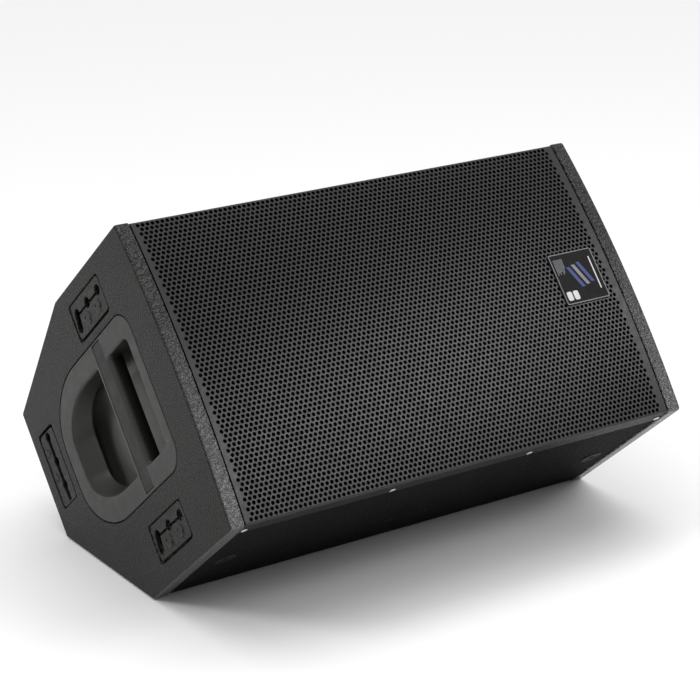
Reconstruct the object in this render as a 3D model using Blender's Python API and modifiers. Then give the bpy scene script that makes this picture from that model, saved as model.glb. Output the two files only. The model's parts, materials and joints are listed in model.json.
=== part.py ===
"""Active two-way stage monitor, lying in its wedge position. Metres, +Z up.

The cabinet is drawn in its own frame and the parent empty tilts that frame on to the floor side:
x runs from the handle end to the foot end, y from the front to the rear, z across the front.
"""

import math

import bmesh
import bpy
from mathutils import Matrix, Vector

# Cabinet
LENGTH = 0.592
WIDTH = 0.345
DEPTH = 0.3753
FRONT_BULGE = 0.0107
WEDGE_TILT = math.radians(40)
LOWER_SIDE_DEPTH = 0.221
UPPER_SIDE_DEPTH = 0.1935
REAR_HIGH = 0.112
END_THICKNESS = 0.017
BOARD = 0.015
PROUD = 0.0015
REAR_INSET = 0.004
CORNER_RADIUS = 0.004
EDGE_ROUND = 0.0025

# Clearances, and how far a cutter runs past what it cuts
GAP = 0.0003
OVERRUN = 0.001

# Grille, its lining, badge and screws
SHEET = 0.0015
SHEET_CLEARANCE = 0.0004
GRILLE_INSET = 0.0012
GRILLE_BEND = 0.006
GRILLE_FLANGE = 0.027
FLANGE_CLEARANCE = 0.0008
FOAM = 0.008
FOAM_CLEARANCE = 0.0005
FOAM_HALF = 0.148
FOAM_MARGIN = 0.008
BADGE_PLACE = (0.2288, 0.0038)
BADGE_SIZE = (0.0605, 0.0620)
BADGE_THICKNESS = 0.0018
SCREWS_PER_SIDE = 4
SCREW_PITCH = 0.1815
SCREW_DEPTH = 0.0183
SCREW_RADIUS = 0.0037
SCREW_CROWN = 0.0022

# Baffle, horn and ports
BAFFLE_FRONT = 0.034
BAFFLE = 0.018
HORN_X = -0.155
HORN_MOUTH = (0.095, 0.080)
HORN_FLANGE = (0.107, 0.092)
HORN_FLANGE_THICKNESS = 0.0055
HORN_WALL = 0.003
HORN_THROAT = 0.0127
HORN_FLARE = 1.35
THROAT_Y = 0.130
HORN_DRIVER_RADIUS = 0.055
HORN_DRIVER_BACK = 0.190
DIAPHRAGM_RADIUS = 0.029
DIAPHRAGM_Y = 0.165
PORT_Z = 0.124
PORT_SIZE = (0.150, 0.042)
PORT_CORNER = 0.012
PORT_LENGTH = 0.116
PORT_WALL = 0.0025

# Woofer: radii, and depths behind the front plane
WOOFER_X = 0.119
WOOFER_HOLE = 0.1415
BASKET_RIM = 0.154
BASKET_RIM_Y = 0.028
BASKET_WAIST = 0.082
BASKET_WAIST_Y = 0.107
BASKET_BACK_Y = 0.1167
BASKET_WALL = 0.005
BASKET_WINDOWS = 6
MAGNET_RADIUS = 0.085
MAGNET_WALL = 0.005
MAGNET_Y = 0.117
MAGNET_BACK_Y = 0.158
POLE_PIECE_RADIUS = 0.037
GAP_OUTER_RADIUS = 0.045
CONE_RADIUS = 0.131
CONE_EDGE = 0.122
CONE_EDGE_Y = 0.031
CONE_MIDDLE = (0.080, 0.066)
CONE_NECK = 0.0405
CONE_NECK_Y = 0.088
CONE_PAPER = 0.0015
COIL_RADIUS = 0.038
COIL_BACK_Y = 0.136
DUST_CAP_RADIUS = 0.045
DUST_CAP_Y = 0.082
SPIDER_WIDTH = 0.0345
SPIDER_Y = 0.103
SPIDER_WAVE = 0.0012
SPIDER_CLOTH = 0.0008
ROLL_CENTRE = 0.134
ROLL_RADIUS = 0.007
ROLL_SKIN = 0.0011
ROLL_INNER_Y = 0.0294
ROLL_OUTER_Y = 0.0262
ROLL_LIPS = (0.1225, 0.152)

# Handle. Corners are half axes along y and z, of the corners towards the front and the rear
HANDLE_Z = 0.0095
HANDLE_Y = (0.047, 0.296)
HANDLE_HALF = 0.0895
HANDLE_CORNERS = ((0.028, 0.026), (0.090, 0.066))
HANDLE_CLEARANCE = 0.0004
HANDLE_FLANGE = 0.004
HANDLE_DEPTH = 0.044
CUP_Y = 0.171
CUP_SIZE = (0.214, 0.142)
CUP_CORNER = 0.020
BAR_DEPTH = 0.019
BAR_NEAR, BAR_FAR = 0.118, 0.153
FINGER_NEAR, FINGER_FAR = 0.067, 0.272
FINGER_HALF = 0.063
FINGER_CORNER = (0.003, 0.003)
SLOT_CORNER = (0.004, 0.004)
SPACE_CORNER = (0.030, 0.030)
RIM_CORNER = (0.079, 0.045)
RIM_FAR, LIP_FAR = 0.270, 0.248
LIP_NARROWING = 0.94

# Rigging plates: centre (y, z) and turn of each recess on an end. A plate sits off its recess's centre
RECESS_SIZE = (0.091, 0.0448)
PLATE_SIZE = (0.0868, 0.0402)
PLATE_SHIFT = (0.0008, 0.0013)
PLATE_CORNER = 0.005
PLATE_THICKNESS = 0.003
PLATE_LEDGE = 0.0035
PLATE_RECESS = 0.0043
PLATE_CAVITY = 0.013
PLATE_PLACES = {
    "upper": (0.1215, 0.131, 0.0),
    "lower": (0.1268, -0.1278, 0.0),
    "rear": (0.3326, 0.0287, -90.0),
}
LOBE_RADIUS = 0.006
LOBE_PLACES = (-0.032, 0.0, 0.032)
LOBE_OFFSET = 0.0078
NECK_OFFSET = 0.0062
NECK_HALF = 0.0013
SLOT_END = (0.0355, -0.0068)
TRACK_PLACES = (-0.0355, -0.0055, 0.0235)
TRACK_HALF = 0.0036
TRACK_END = 0.0415

# Rear tray
TRAY_SIZE = (0.438, 0.102)
TRAY_FLANGE = (0.464, 0.128)
TRAY_DEPTH = 0.026
TRAY_SHEET = 0.002
TRAY_CLEARANCE = 0.001
HEAT_SINK_X = (-0.205, 0.010)
HEAT_SINK_HALF = 0.044
HEAT_SINK_HEIGHT = 0.019
HEAT_SINK_BASE = 0.004
FINS = 12
FIN = 0.0022

# Sockets on the tray: places, flange, barrel and cups
CONNECTORS = {
    "xlr_input": (0.045, 0.024),
    "xlr_output": (0.082, 0.024),
    "power_inlet": (0.045, -0.024),
    "power_outlet": (0.082, -0.024),
}
SOCKET_FLANGE = (0.026, 0.031)
SOCKET_CORNER = 0.004
SOCKET_THICKNESS = 0.0032
BARREL_RADIUS = 0.0115
BARREL_HOLE = 0.0121
BARREL_LENGTH = 0.016
SIGNAL_CUP = 0.0095
POWER_CUP = 0.0098
CUP_DEPTH = 0.0105
PLUG_FACE_DEPTH = 0.0014
CONTACT_DEPTH = 0.009
POST_RADIUS = 0.0038
PIN_CIRCLE = 0.0051
PIN_RADIUS = 0.0012
PIN_HOLE = 0.0014
PIN_ANGLES = (20, 160, 270)
LATCH_OFFSET = 0.01275
LATCH_SIZE = (0.0086, 0.0028)
LATCH_REACH = (0.0022, 0.0052)
LATCH_FLOOR = 0.0004
LATCH_CLEARANCE = 0.0004

# Knobs, buttons and switch on the tray
KNOBS = {"volume_knob": (0.122, 0.024), "tone_knob": (0.160, 0.024)}
KNOB_RADIUS = 0.0082
KNOB_TOP_RADIUS = 0.0075
KNOB_HEIGHT = 0.0135
KNOB_LIFT = 0.0006
SPINDLE_RADIUS = 0.0030
SPINDLE_HOLE = 0.0036
SPINDLE_LENGTH = 0.010
POINTER_HALF = 0.0008
POINTER_REACH = (0.0015, 0.0066)
POINTER_RISE = 0.0007
BUTTONS = {"low_cut_button": (0.190, 0.036), "ground_lift_button": (0.190, 0.014)}
BUTTON_SIZE = 0.0068
BUTTON_HOLE = 0.0078
BUTTON_REACH = (-0.006, 0.0034)
SWITCH_PLACE = (0.140, -0.024)
SWITCH_SIZE = (0.030, 0.021)
SWITCH_FACE = 0.002
SWITCH_BODY_MARGIN = 0.0035
SWITCH_WELL_MARGIN = 0.0055
SWITCH_DEPTH = 0.014
WELL_DEPTH = 0.0085
ROCKER_TILT = math.radians(8)
ROCKER_PIVOT = 0.0006
ROCKER_ENDS = 0.0030
ROCKER_DIP = 0.0014
ROCKER_DEPTH = 0.0055
ROCKER_SIDE_GAP = 0.0006
ROCKER_END_GAP = 0.0012

# Electronics behind the tray: reach along x of each board
BOARDS = {"amplifier_board": (-0.200, -0.020), "power_supply": (0.000, 0.176)}
BOARD_HALF = 0.042
CIRCUIT_BOARD = 0.0016
STANDOFF = 0.020
STANDOFF_RADIUS = 0.003
STANDOFF_MARGIN = 0.006
COIL_CORE = (0.045, 0.026)
HEAVY_PART = (-0.030, 0.050, 0.045)
PART_HEIGHT = 0.030

# Foot end and floor side
FOOT_RADIUS = 0.015
FOOT_HEIGHT = 0.008
FOOT_TAPER = 0.003
FOOT_PLACES = ((0.040, 0.140), (0.040, -0.140), (0.335, 0.100), (0.335, -0.045))
POLE_Y = 0.172
POLE_RADIUS = 0.018
POLE_DEPTH = 0.078
POLE_WALL = 0.003
POLE_FLANGE = 0.041
POLE_FLANGE_THICKNESS = 0.002
STRIP_SIZE = (0.480, 0.018)
STRIP_PLACES = {"floor_strip_front": 0.028, "floor_strip_rear": 0.176}
STRIP_PROUD = 0.001

# Worked out from the above
END_X = LENGTH / 2
INNER_X = END_X - END_THICKNESS
HALF = WIDTH / 2
REAR_LOW = -HALF + (DEPTH - LOWER_SIDE_DEPTH) * math.tan(WEDGE_TILT)
REAR_Z = (REAR_LOW + REAR_HIGH) / 2
ARC_RADIUS = (HALF**2 + FRONT_BULGE**2) / (2 * FRONT_BULGE)
FLANGE_Y = DEPTH - REAR_INSET + GAP + TRAY_SHEET
FLOOR_Y = FLANGE_Y - TRAY_DEPTH
TRAY_FACE = FLOOR_Y + TRAY_SHEET + GAP
CORNERS = (
    (0.0, -HALF),
    (LOWER_SIDE_DEPTH, -HALF),
    (DEPTH, REAR_LOW),
    (DEPTH, REAR_HIGH),
    (UPPER_SIDE_DEPTH, HALF),
    (0.0, HALF),
)

# Each finish: colour, roughness, metallic
FINISHES = {
    "coating": ((0.052, 0.052, 0.049), 0.62, 0.0),
    "side_coating": ((0.022, 0.022, 0.022), 0.6, 0.0),
    "grille_steel": ((0.060, 0.060, 0.068), 0.45, 0.6),
    "handle_plastic": ((0.075, 0.075, 0.070), 0.55, 0.0),
    "plate_steel": ((0.050, 0.050, 0.047), 0.5, 0.5),
    "black_plastic": ((0.020, 0.020, 0.020), 0.45, 0.0),
    "blue_plastic": ((0.03, 0.09, 0.30), 0.45, 0.0),
    "grey_plastic": ((0.35, 0.35, 0.36), 0.45, 0.0),
    "rubber": ((0.015, 0.015, 0.015), 0.8, 0.0),
    "foam": ((0.012, 0.012, 0.012), 0.95, 0.0),
    "casting": ((0.10, 0.10, 0.105), 0.5, 0.6),
    "paper": ((0.030, 0.030, 0.030), 0.85, 0.0),
    "copper": ((0.70, 0.35, 0.15), 0.4, 0.9),
    "bright_metal": ((0.75, 0.75, 0.76), 0.3, 1.0),
    "circuit_board": ((0.02, 0.14, 0.05), 0.5, 0.0),
    "badge": ((0.035, 0.035, 0.040), 0.3, 0.3),
}

ALONG_X = Matrix(((0, 0, 1), (1, 0, 0), (0, 1, 0))).to_euler()
ALONG_Y = Matrix(((0, 1, 0), (0, 0, 1), (1, 0, 0))).to_euler()
FACING_REAR = Matrix(((1, 0, 0), (0, 0, 1), (0, -1, 0))).to_euler()


def clear_scene():
    for old in list(bpy.data.objects):
        bpy.data.objects.remove(old, do_unlink=True)


def make_collection(name):
    collection = bpy.data.collections.new(name)
    bpy.context.scene.collection.children.link(collection)
    return collection


def make_cabinet_frame():
    """The empty whose frame is the cabinet's own, tilted so that the floor side lies flat."""
    frame = bpy.data.objects.new("cabinet_frame", None)
    sine, cosine = math.sin(WEDGE_TILT), math.cos(WEDGE_TILT)
    lowest_front = -HALF * sine
    furthest_rear = DEPTH * cosine + REAR_HIGH * sine
    lift = LOWER_SIDE_DEPTH * sine + HALF * cosine + STRIP_PROUD
    frame.location = (-(FOOT_HEIGHT + GAP) / 2, -(lowest_front + furthest_rear) / 2, lift)
    frame.rotation_euler = (-WEDGE_TILT, 0, 0)
    PARTS.objects.link(frame)
    return frame


def paint(obj, finish):
    colour, roughness, metallic = FINISHES[finish]
    material = bpy.data.materials.new(obj.name)
    material.use_nodes = True
    shader = material.node_tree.nodes["Principled BSDF"]
    shader.inputs["Base Color"].default_value = (*colour, 1)
    shader.inputs["Roughness"].default_value = roughness
    shader.inputs["Metallic"].default_value = metallic
    obj.data.materials.append(material)


def add(name, mesh, finish, location=(0, 0, 0), turn=(0, 0, 0)):
    """An object in the cabinet's frame: a part with its finish, or a cutter where finish is None."""
    obj = bpy.data.objects.new(name, mesh)
    obj.parent = FRAME
    obj.location = location
    obj.rotation_euler = turn
    if finish is None:
        CUTTERS.objects.link(obj)
        obj.hide_render = True
        obj.display_type = "WIRE"
    else:
        PARTS.objects.link(obj)
        paint(obj, finish)
    return obj


def boolean(obj, other, operation="DIFFERENCE"):
    modifier = obj.modifiers.new(other.name, "BOOLEAN")
    modifier.operation = operation
    modifier.object = other
    modifier.solver = "EXACT"


def bevel(obj, width, segments=2):
    modifier = obj.modifiers.new("Edges", "BEVEL")
    modifier.width = width
    modifier.segments = segments
    modifier.limit_method = "ANGLE"
    modifier.angle_limit = math.radians(40)


def finish_mesh(work, name):
    mesh = bpy.data.meshes.new(name)
    work.to_mesh(mesh)
    work.free()
    return mesh


def rectangle(centre, size):
    (u, v), (a, b) = centre, (size[0] / 2, size[1] / 2)
    return [(u - a, v - b), (u + a, v - b), (u + a, v + b), (u - a, v + b)]


def circle(centre, radius, steps=24):
    turns = [2 * math.pi * step / steps for step in range(steps)]
    return [(centre[0] + radius * math.cos(t), centre[1] + radius * math.sin(t)) for t in turns]


def rounded(corners, radii, steps=4):
    """The outline with an arc at each corner; radii is one radius or one for each corner."""
    if isinstance(radii, float):
        radii = [radii] * len(corners)
    loop = []
    for index, radius in enumerate(radii):
        here = Vector(corners[index])
        if radius == 0:
            loop.append(tuple(here))
            continue
        before = (Vector(corners[index - 1]) - here).normalized()
        after = (Vector(corners[(index + 1) % len(corners)]) - here).normalized()
        half = before.angle(after) / 2
        centre = here + (before + after).normalized() * radius / math.sin(half)
        start = (here + before * radius / math.tan(half) - centre).normalized()
        end = (here + after * radius / math.tan(half) - centre).normalized()
        for step in range(steps + 1):
            loop.append(tuple(centre + start.slerp(end, step / steps) * radius))
    return loop


def slab(name, axis, outline, low, high, finish=None, holes=(), others=()):
    """A flat outline extruded from low to high: (y, z) points along x, or (x, z) points along y.

    holes are loops inside the outline, and others are further separate outlines of a cutter.
    """
    curve = bpy.data.curves.new(name, "CURVE")
    curve.dimensions = "2D"
    curve.fill_mode = "BOTH"
    curve.extrude = (high - low) / 2
    for loop in (outline, *holes, *others):
        spline = curve.splines.new("POLY")
        spline.points.add(len(loop) - 1)
        spline.use_cyclic_u = True
        for point, (u, v) in zip(spline.points, loop):
            point.co = (u, v, 0, 1) if axis == "x" else (v, u, 0, 1)
    flat = bpy.data.objects.new(name + "_outline", curve)
    CUTTERS.objects.link(flat)
    evaluated = flat.evaluated_get(bpy.context.evaluated_depsgraph_get())
    drawn = bpy.data.meshes.new_from_object(evaluated)
    work = bmesh.new()
    work.from_mesh(drawn)
    bmesh.ops.remove_doubles(work, verts=work.verts, dist=1e-6)
    mesh = finish_mesh(work, name)
    bpy.data.objects.remove(flat)
    bpy.data.curves.remove(curve)
    bpy.data.meshes.remove(drawn)
    middle = (low + high) / 2
    location = (middle, 0, 0) if axis == "x" else (0, middle, 0)
    return add(name, mesh, finish, location, ALONG_X if axis == "x" else ALONG_Y)


def turned(name, profile, finish, place, turn=ALONG_Y, steps=32):
    """A body turned about its own z axis from (radius, height) points; it closes on the axis or on itself."""
    on_axis = profile[0][0] == 0 and profile[-1][0] == 0
    pairs = zip(profile, profile[1:] + profile[:1])
    area = sum(r0 * h1 - r1 * h0 for (r0, h0), (r1, h1) in pairs)
    points = profile if area < 0 else profile[::-1]
    mesh = bpy.data.meshes.new(name)
    edges = [(i, i + 1) for i in range(len(points) - 1)]
    if not on_axis:
        edges.append((len(points) - 1, 0))
    mesh.from_pydata([(r, 0, h) for r, h in points], edges, [])
    obj = add(name, mesh, finish, place, turn)
    screw = obj.modifiers.new("Turn", "SCREW")
    screw.steps = screw.render_steps = steps
    screw.use_merge_vertices = True
    screw.merge_threshold = 0.0001
    return obj


def box(name, low, high, finish=None):
    """A box between two corners in the cabinet's frame."""
    work = bmesh.new()
    bmesh.ops.create_cube(work, size=1)
    bmesh.ops.scale(work, vec=Vector(high) - Vector(low), verts=work.verts)
    return add(name, finish_mesh(work, name), finish, (Vector(high) + Vector(low)) / 2)


def strip(name, path, low, high, thickness, finish):
    """A bent sheet: a path of (y, z) points drawn out along x, with its thickness either side."""
    work = bmesh.new()
    points = [work.verts.new((low, y, z)) for y, z in path]
    edges = [work.edges.new(pair) for pair in zip(points, points[1:])]
    drawn = bmesh.ops.extrude_edge_only(work, edges=edges)["geom"]
    moved = [item for item in drawn if isinstance(item, bmesh.types.BMVert)]
    bmesh.ops.translate(work, verts=moved, vec=(high - low, 0, 0))
    obj = add(name, finish_mesh(work, name), finish)
    solid = obj.modifiers.new("Sheet", "SOLIDIFY")
    solid.thickness = thickness
    solid.offset = 0
    solid.use_even_offset = True
    return obj


def front_y(z):
    """Depth of the end panels' bulging front edge."""
    return ARC_RADIUS - FRONT_BULGE - math.sqrt(ARC_RADIUS**2 - z**2)


def front_arc(half, offset, steps=12):
    heights = [half * (1 - 2 * step / steps) for step in range(steps + 1)]
    return [(front_y(z) + offset, z) for z in heights]


def inset_corners(insets):
    """The section's corners with each side moved inwards, from the lower side round to the upper one."""
    sides = []
    for index, inset in enumerate(insets):
        start, end = Vector(CORNERS[index]), Vector(CORNERS[index + 1])
        along = (end - start).normalized()
        inwards = Vector((-along.y, along.x)) * inset
        sides.append((start + inwards, along))
    moved = []
    for (place, along), (other, beside) in zip(sides, sides[1:]):
        across = along.x * beside.y - along.y * beside.x
        gap = other - place
        moved.append(place + along * (gap.x * beside.y - gap.y * beside.x) / across)
    return moved


def build_boards():
    """The five boards round the sides and rear, mitred along their edges."""
    insets = [PROUD, PROUD, REAR_INSET, PROUD, PROUD]
    outer = inset_corners(insets)
    inner = inset_corners([inset + BOARD for inset in insets])
    ends = (-INNER_X + GAP, INNER_X - GAP)
    boards = {}
    for index, name in enumerate(("floor_board", "rear_board", "back_slope_board")):
        along = (outer[index + 1] - outer[index]).normalized() * GAP
        loop = [
            outer[index] + along,
            outer[index + 1] - along,
            inner[index + 1] - along,
            inner[index] + along,
        ]
        boards[name] = slab(name, "x", loop, *ends, "side_coating")
    build_side_board("lower_side_board", -1, outer[0], inner[0], ends)
    build_side_board("upper_side_board", 1, outer[3], inner[3], ends)
    clear = [size + 2 * (TRAY_SHEET + TRAY_CLEARANCE) for size in TRAY_SIZE]
    reach = (DEPTH - REAR_INSET - BOARD - OVERRUN, DEPTH)
    boolean(boards["rear_board"], slab("tray_opening", "y", rectangle((0, REAR_Z), clear), *reach))


def build_side_board(name, sign, corner, inside, ends):
    """A side board, rebated along its front for the grille's flange."""
    face = HALF - PROUD
    rebate = face - SHEET - SHEET_CLEARANCE
    front, step = 0.010, GRILLE_FLANGE + FLANGE_CLEARANCE
    loop = [
        (front, sign * rebate),
        (step, sign * rebate),
        (step, sign * face),
        (corner.x - GAP, sign * face),
        (inside.x - GAP, sign * (face - BOARD)),
        (front, sign * (face - BOARD)),
    ]
    slab(name, "x", loop, *ends, "side_coating")


def end_outline():
    """The end panels' outline, with its bulging front edge."""
    arc = front_arc(HALF, 0.0)
    loop = arc + list(CORNERS[1:5])
    radii = [CORNER_RADIUS] + [0.0] * (len(arc) - 2) + [CORNER_RADIUS] * 5
    return rounded(loop, radii, steps=3)


def plate_point(place, u, v):
    """A point of a rigging plate, u along it and v across it, in (y, z)."""
    y, z, turn = place
    angle = math.radians(turn)
    return (
        y + u * math.cos(angle) - v * math.sin(angle),
        z + u * math.sin(angle) + v * math.cos(angle),
    )


def plate_outline(place, size, radius, shift=(0.0, 0.0)):
    corners = rectangle(shift, size)
    return rounded([plate_point(place, *corner) for corner in corners], radius, steps=3)


def lobe_arc(u, v, start, end, steps):
    """Points round a lobe from one angle to another."""
    turns = [start + (end - start) * step / steps for step in range(steps + 1)]
    return [(u + LOBE_RADIUS * math.cos(turn), v + LOBE_RADIUS * math.sin(turn)) for turn in turns]


def keyhole_outline():
    """The opening of a front plate: three round lobes joined by necks, the last running on into a slot."""
    low = math.asin((NECK_OFFSET - NECK_HALF - LOBE_OFFSET) / LOBE_RADIUS)
    high = math.asin((NECK_OFFSET + NECK_HALF - LOBE_OFFSET) / LOBE_RADIUS)
    first, middle, last = LOBE_PLACES
    loop = lobe_arc(first, LOBE_OFFSET, 2 * math.pi + low, high, steps=8)
    loop += lobe_arc(middle, LOBE_OFFSET, math.pi - high, high, steps=5)
    loop += lobe_arc(last, LOBE_OFFSET, math.pi - high, 0.0, steps=4)
    loop += lobe_arc(*SLOT_END, 0.0, -math.pi, steps=5)
    loop.append((last - LOBE_RADIUS * math.cos(low), NECK_OFFSET - NECK_HALF))
    return loop + lobe_arc(middle, LOBE_OFFSET, low, -math.pi - low, steps=4)


def track_outline():
    """The opening of a rear plate: a straight slot with three round lobes along it."""
    start = math.asin(TRACK_HALF / LOBE_RADIUS)
    first, middle, last = TRACK_PLACES
    loop = lobe_arc(first, 0.0, 2 * math.pi - start, start, steps=8)
    loop += lobe_arc(middle, 0.0, math.pi - start, start, steps=3)
    loop += lobe_arc(last, 0.0, math.pi - start, start, steps=3)
    loop += [(TRACK_END, TRACK_HALF), (TRACK_END, -TRACK_HALF)]
    loop += lobe_arc(last, 0.0, -start, start - math.pi, steps=3)
    return loop + lobe_arc(middle, 0.0, -start, start - math.pi, steps=3)


def build_plates(panel, end, sign):
    """Three recessed rigging plates in one end panel. sign is the side of x that the end faces."""
    rest = END_X - PLATE_RECESS
    for place_name, place in PLATE_PLACES.items():
        name = f"rigging_plate_{end}_{place_name}"
        deep = sorted((sign * (END_X + OVERRUN), sign * rest))
        edge = plate_outline(place, RECESS_SIZE, PLATE_CORNER)
        boolean(panel, slab(name + "_pocket", "x", edge, *deep))
        deep = sorted((sign * (rest + OVERRUN), sign * (END_X - PLATE_CAVITY)))
        size = [side - 2 * PLATE_LEDGE for side in PLATE_SIZE]
        cavity = plate_outline(place, size, PLATE_CORNER - 0.002, PLATE_SHIFT)
        boolean(panel, slab(name + "_cavity", "x", cavity, *deep))
        faces = sorted((sign * (rest + GAP), sign * (rest + GAP + PLATE_THICKNESS)))
        plate = plate_outline(place, PLATE_SIZE, PLATE_CORNER, PLATE_SHIFT)
        opening = track_outline() if place_name == "rear" else keyhole_outline()
        hole = [plate_point(place, *point) for point in opening]
        slab(name, "x", plate, *faces, "plate_steel", holes=[hole])


def oval(near, far, half, near_corner, far_corner, steps=6):
    """A four-sided outline about the handle's middle, from near to far, with elliptic corners."""
    loop = []
    places = (
        (far, 1, far_corner),
        (near, 1, near_corner),
        (near, -1, near_corner),
        (far, -1, far_corner),
    )
    for quarter, (end, side, (a, b)) in enumerate(places):
        y = end - a if end == far else end + a
        z = HANDLE_Z + side * (half - b)
        for step in range(steps + 1):
            turn = (quarter + step / steps) * math.pi / 2
            loop.append((y + a * math.cos(turn), z + b * math.sin(turn)))
    return loop


def handle_outline(grow):
    """The handle's outline: small corners towards the front, large ones to the rear."""
    near, far = HANDLE_Y[0] - grow, HANDLE_Y[1] + grow
    corners = [[axis + grow for axis in corner] for corner in HANDLE_CORNERS]
    return oval(near, far, HANDLE_HALF + grow, *corners)


def pocket_outline(near, far, corner):
    """A finger pocket's outline from near to far, with its larger corners at the far side."""
    return oval(near, far, FINGER_HALF, FINGER_CORNER, corner)


def build_handle(panel):
    """A flush bar handle: a flanged cup whose bar spans a slot and a wide rear pocket."""
    outer, back = -END_X, -END_X + HANDLE_DEPTH
    inner_bar = outer + BAR_DEPTH
    edge = handle_outline(HANDLE_CLEARANCE)
    boolean(panel, slab("handle_rebate", "x", edge, outer - OVERRUN, outer + HANDLE_FLANGE + GAP))
    clear = [size + 2 * OVERRUN for size in CUP_SIZE]
    hole = rounded(rectangle((CUP_Y, HANDLE_Z), clear), CUP_CORNER + OVERRUN)
    boolean(panel, slab("handle_opening", "x", hole, outer - OVERRUN, -INNER_X + OVERRUN))
    handle = slab("carry_handle", "x", handle_outline(0.0), outer, outer + HANDLE_FLANGE, "handle_plastic")
    cup = rounded(rectangle((CUP_Y, HANDLE_Z), CUP_SIZE), CUP_CORNER)
    boolean(handle, slab("handle_cup", "x", cup, outer + HANDLE_FLANGE - OVERRUN, back), "UNION")
    slot = pocket_outline(FINGER_NEAR, BAR_NEAR, SLOT_CORNER)
    boolean(handle, slab("finger_slot", "x", slot, outer - OVERRUN, inner_bar + OVERRUN))
    boolean(handle, build_apron(outer, inner_bar + OVERRUN))
    inside = pocket_outline(FINGER_NEAR, FINGER_FAR, SPACE_CORNER)
    boolean(handle, slab("finger_space", "x", inside, inner_bar, back - 0.003))


def build_apron(low, high):
    """The cutter of the rear pocket's mouth, which narrows from its rim to the lip inside."""
    rim = pocket_outline(BAR_FAR, RIM_FAR, RIM_CORNER)
    apron = slab("rear_pocket", "x", rim, low, high)
    for vertex in apron.data.vertices:
        if vertex.co.z > 0:
            share = (vertex.co.x - BAR_FAR) / (RIM_FAR - BAR_FAR)
            vertex.co.x = BAR_FAR + share * (LIP_FAR - BAR_FAR)
            vertex.co.y = HANDLE_Z + (vertex.co.y - HANDLE_Z) * LIP_NARROWING
        else:
            vertex.co.z -= OVERRUN / 2
    return apron


def build_ends():
    """Both end panels, with the handle in one and the pole socket and feet on the other."""
    handle_end = slab("handle_end_panel", "x", end_outline(), -END_X, -INNER_X, "coating")
    foot_end = slab("foot_end_panel", "x", end_outline(), INNER_X, END_X, "coating")
    bevel(handle_end, EDGE_ROUND)
    bevel(foot_end, EDGE_ROUND)
    build_plates(handle_end, "top", -1)
    build_plates(foot_end, "foot", 1)
    build_handle(handle_end)
    build_pole_socket(foot_end)
    for index, (y, z) in enumerate(FOOT_PLACES):
        low, high = END_X + GAP, END_X + GAP + FOOT_HEIGHT
        profile = [(0, high), (FOOT_RADIUS - FOOT_TAPER, high), (FOOT_RADIUS, low), (0, low)]
        turned(f"end_foot_{index + 1}", profile, "rubber", (0, y, z), ALONG_X, steps=16)


def build_pole_socket(panel):
    """A flanged cup in the foot end that takes a stand's pole."""
    centre = (POLE_Y, 0.0)
    outside = POLE_RADIUS + POLE_WALL
    hole = circle(centre, outside + OVERRUN, 32)
    boolean(panel, slab("pole_hole", "x", hole, INNER_X - OVERRUN, END_X + OVERRUN))
    face, back = END_X + GAP, END_X - POLE_DEPTH
    front = face + POLE_FLANGE_THICKNESS
    chamfer = 0.001
    profile = [
        (0, back - POLE_WALL),
        (outside, back - POLE_WALL),
        (outside, face),
        (POLE_FLANGE, face),
        (POLE_FLANGE, front),
        (POLE_RADIUS + chamfer, front),
        (POLE_RADIUS, front - chamfer),
        (POLE_RADIUS, back),
        (0, back),
    ]
    turned("pole_socket", profile, "black_plastic", (0, *centre), ALONG_X, steps=28)


def build_strips():
    """Two rubber strips under the floor side."""
    start, end = Vector(CORNERS[1]), Vector(CORNERS[2])
    along = (end - start).normalized()
    outwards = Vector((along.y, -along.x))
    top, under = outwards * (GAP - PROUD), outwards * STRIP_PROUD
    half = along * STRIP_SIZE[1] / 2
    for name, distance in STRIP_PLACES.items():
        middle = start + along * distance
        loop = [middle - half + top, middle + half + top, middle + half + under, middle - half + under]
        slab(name, "x", loop, -STRIP_SIZE[0] / 2, STRIP_SIZE[0] / 2, "rubber")


def build_grille():
    """The bent front sheet, its foam lining, its badge and its screws."""
    half = HALF - PROUD - SHEET / 2
    arc = front_arc(half, GRILLE_INSET + SHEET / 2)
    path = [(GRILLE_FLANGE, half), *arc, (GRILLE_FLANGE, -half)]
    radii = [0.0] * len(path)
    radii[1] = radii[-2] = GRILLE_BEND
    limit = INNER_X - 0.0005
    strip("front_grille", rounded(path, radii), -limit, limit, SHEET, "grille_steel")
    lining = front_arc(FOAM_HALF, GRILLE_INSET + SHEET + FOAM_CLEARANCE + FOAM / 2)
    strip("grille_foam", lining, -limit + FOAM_MARGIN, limit - FOAM_MARGIN, FOAM, "foam")
    badge = rounded(rectangle(BADGE_PLACE, BADGE_SIZE), 0.002, steps=2)
    back = front_y(0) + GRILLE_INSET - GAP - 0.0002
    slab("badge_plate", "y", badge, back - BADGE_THICKNESS, back, "badge")
    build_grille_screws()


def build_grille_screws():
    """Screw heads along both long edges of the grille, each a button 0.3 mm off the sheet."""
    low, high = HALF - PROUD + GAP, HALF - 0.0001
    profile = [(0, high), (SCREW_CROWN, high), (SCREW_RADIUS, low + GAP), (SCREW_RADIUS, low), (0, low)]
    for side, turn in (("lower", (math.pi, 0, 0)), ("upper", (0, 0, 0))):
        for index in range(SCREWS_PER_SIDE):
            x = (index - (SCREWS_PER_SIDE - 1) / 2) * SCREW_PITCH
            name = f"grille_screw_{side}_{index + 1}"
            turned(name, profile, "plate_steel", (x, SCREW_DEPTH, 0), turn, steps=12)


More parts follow.
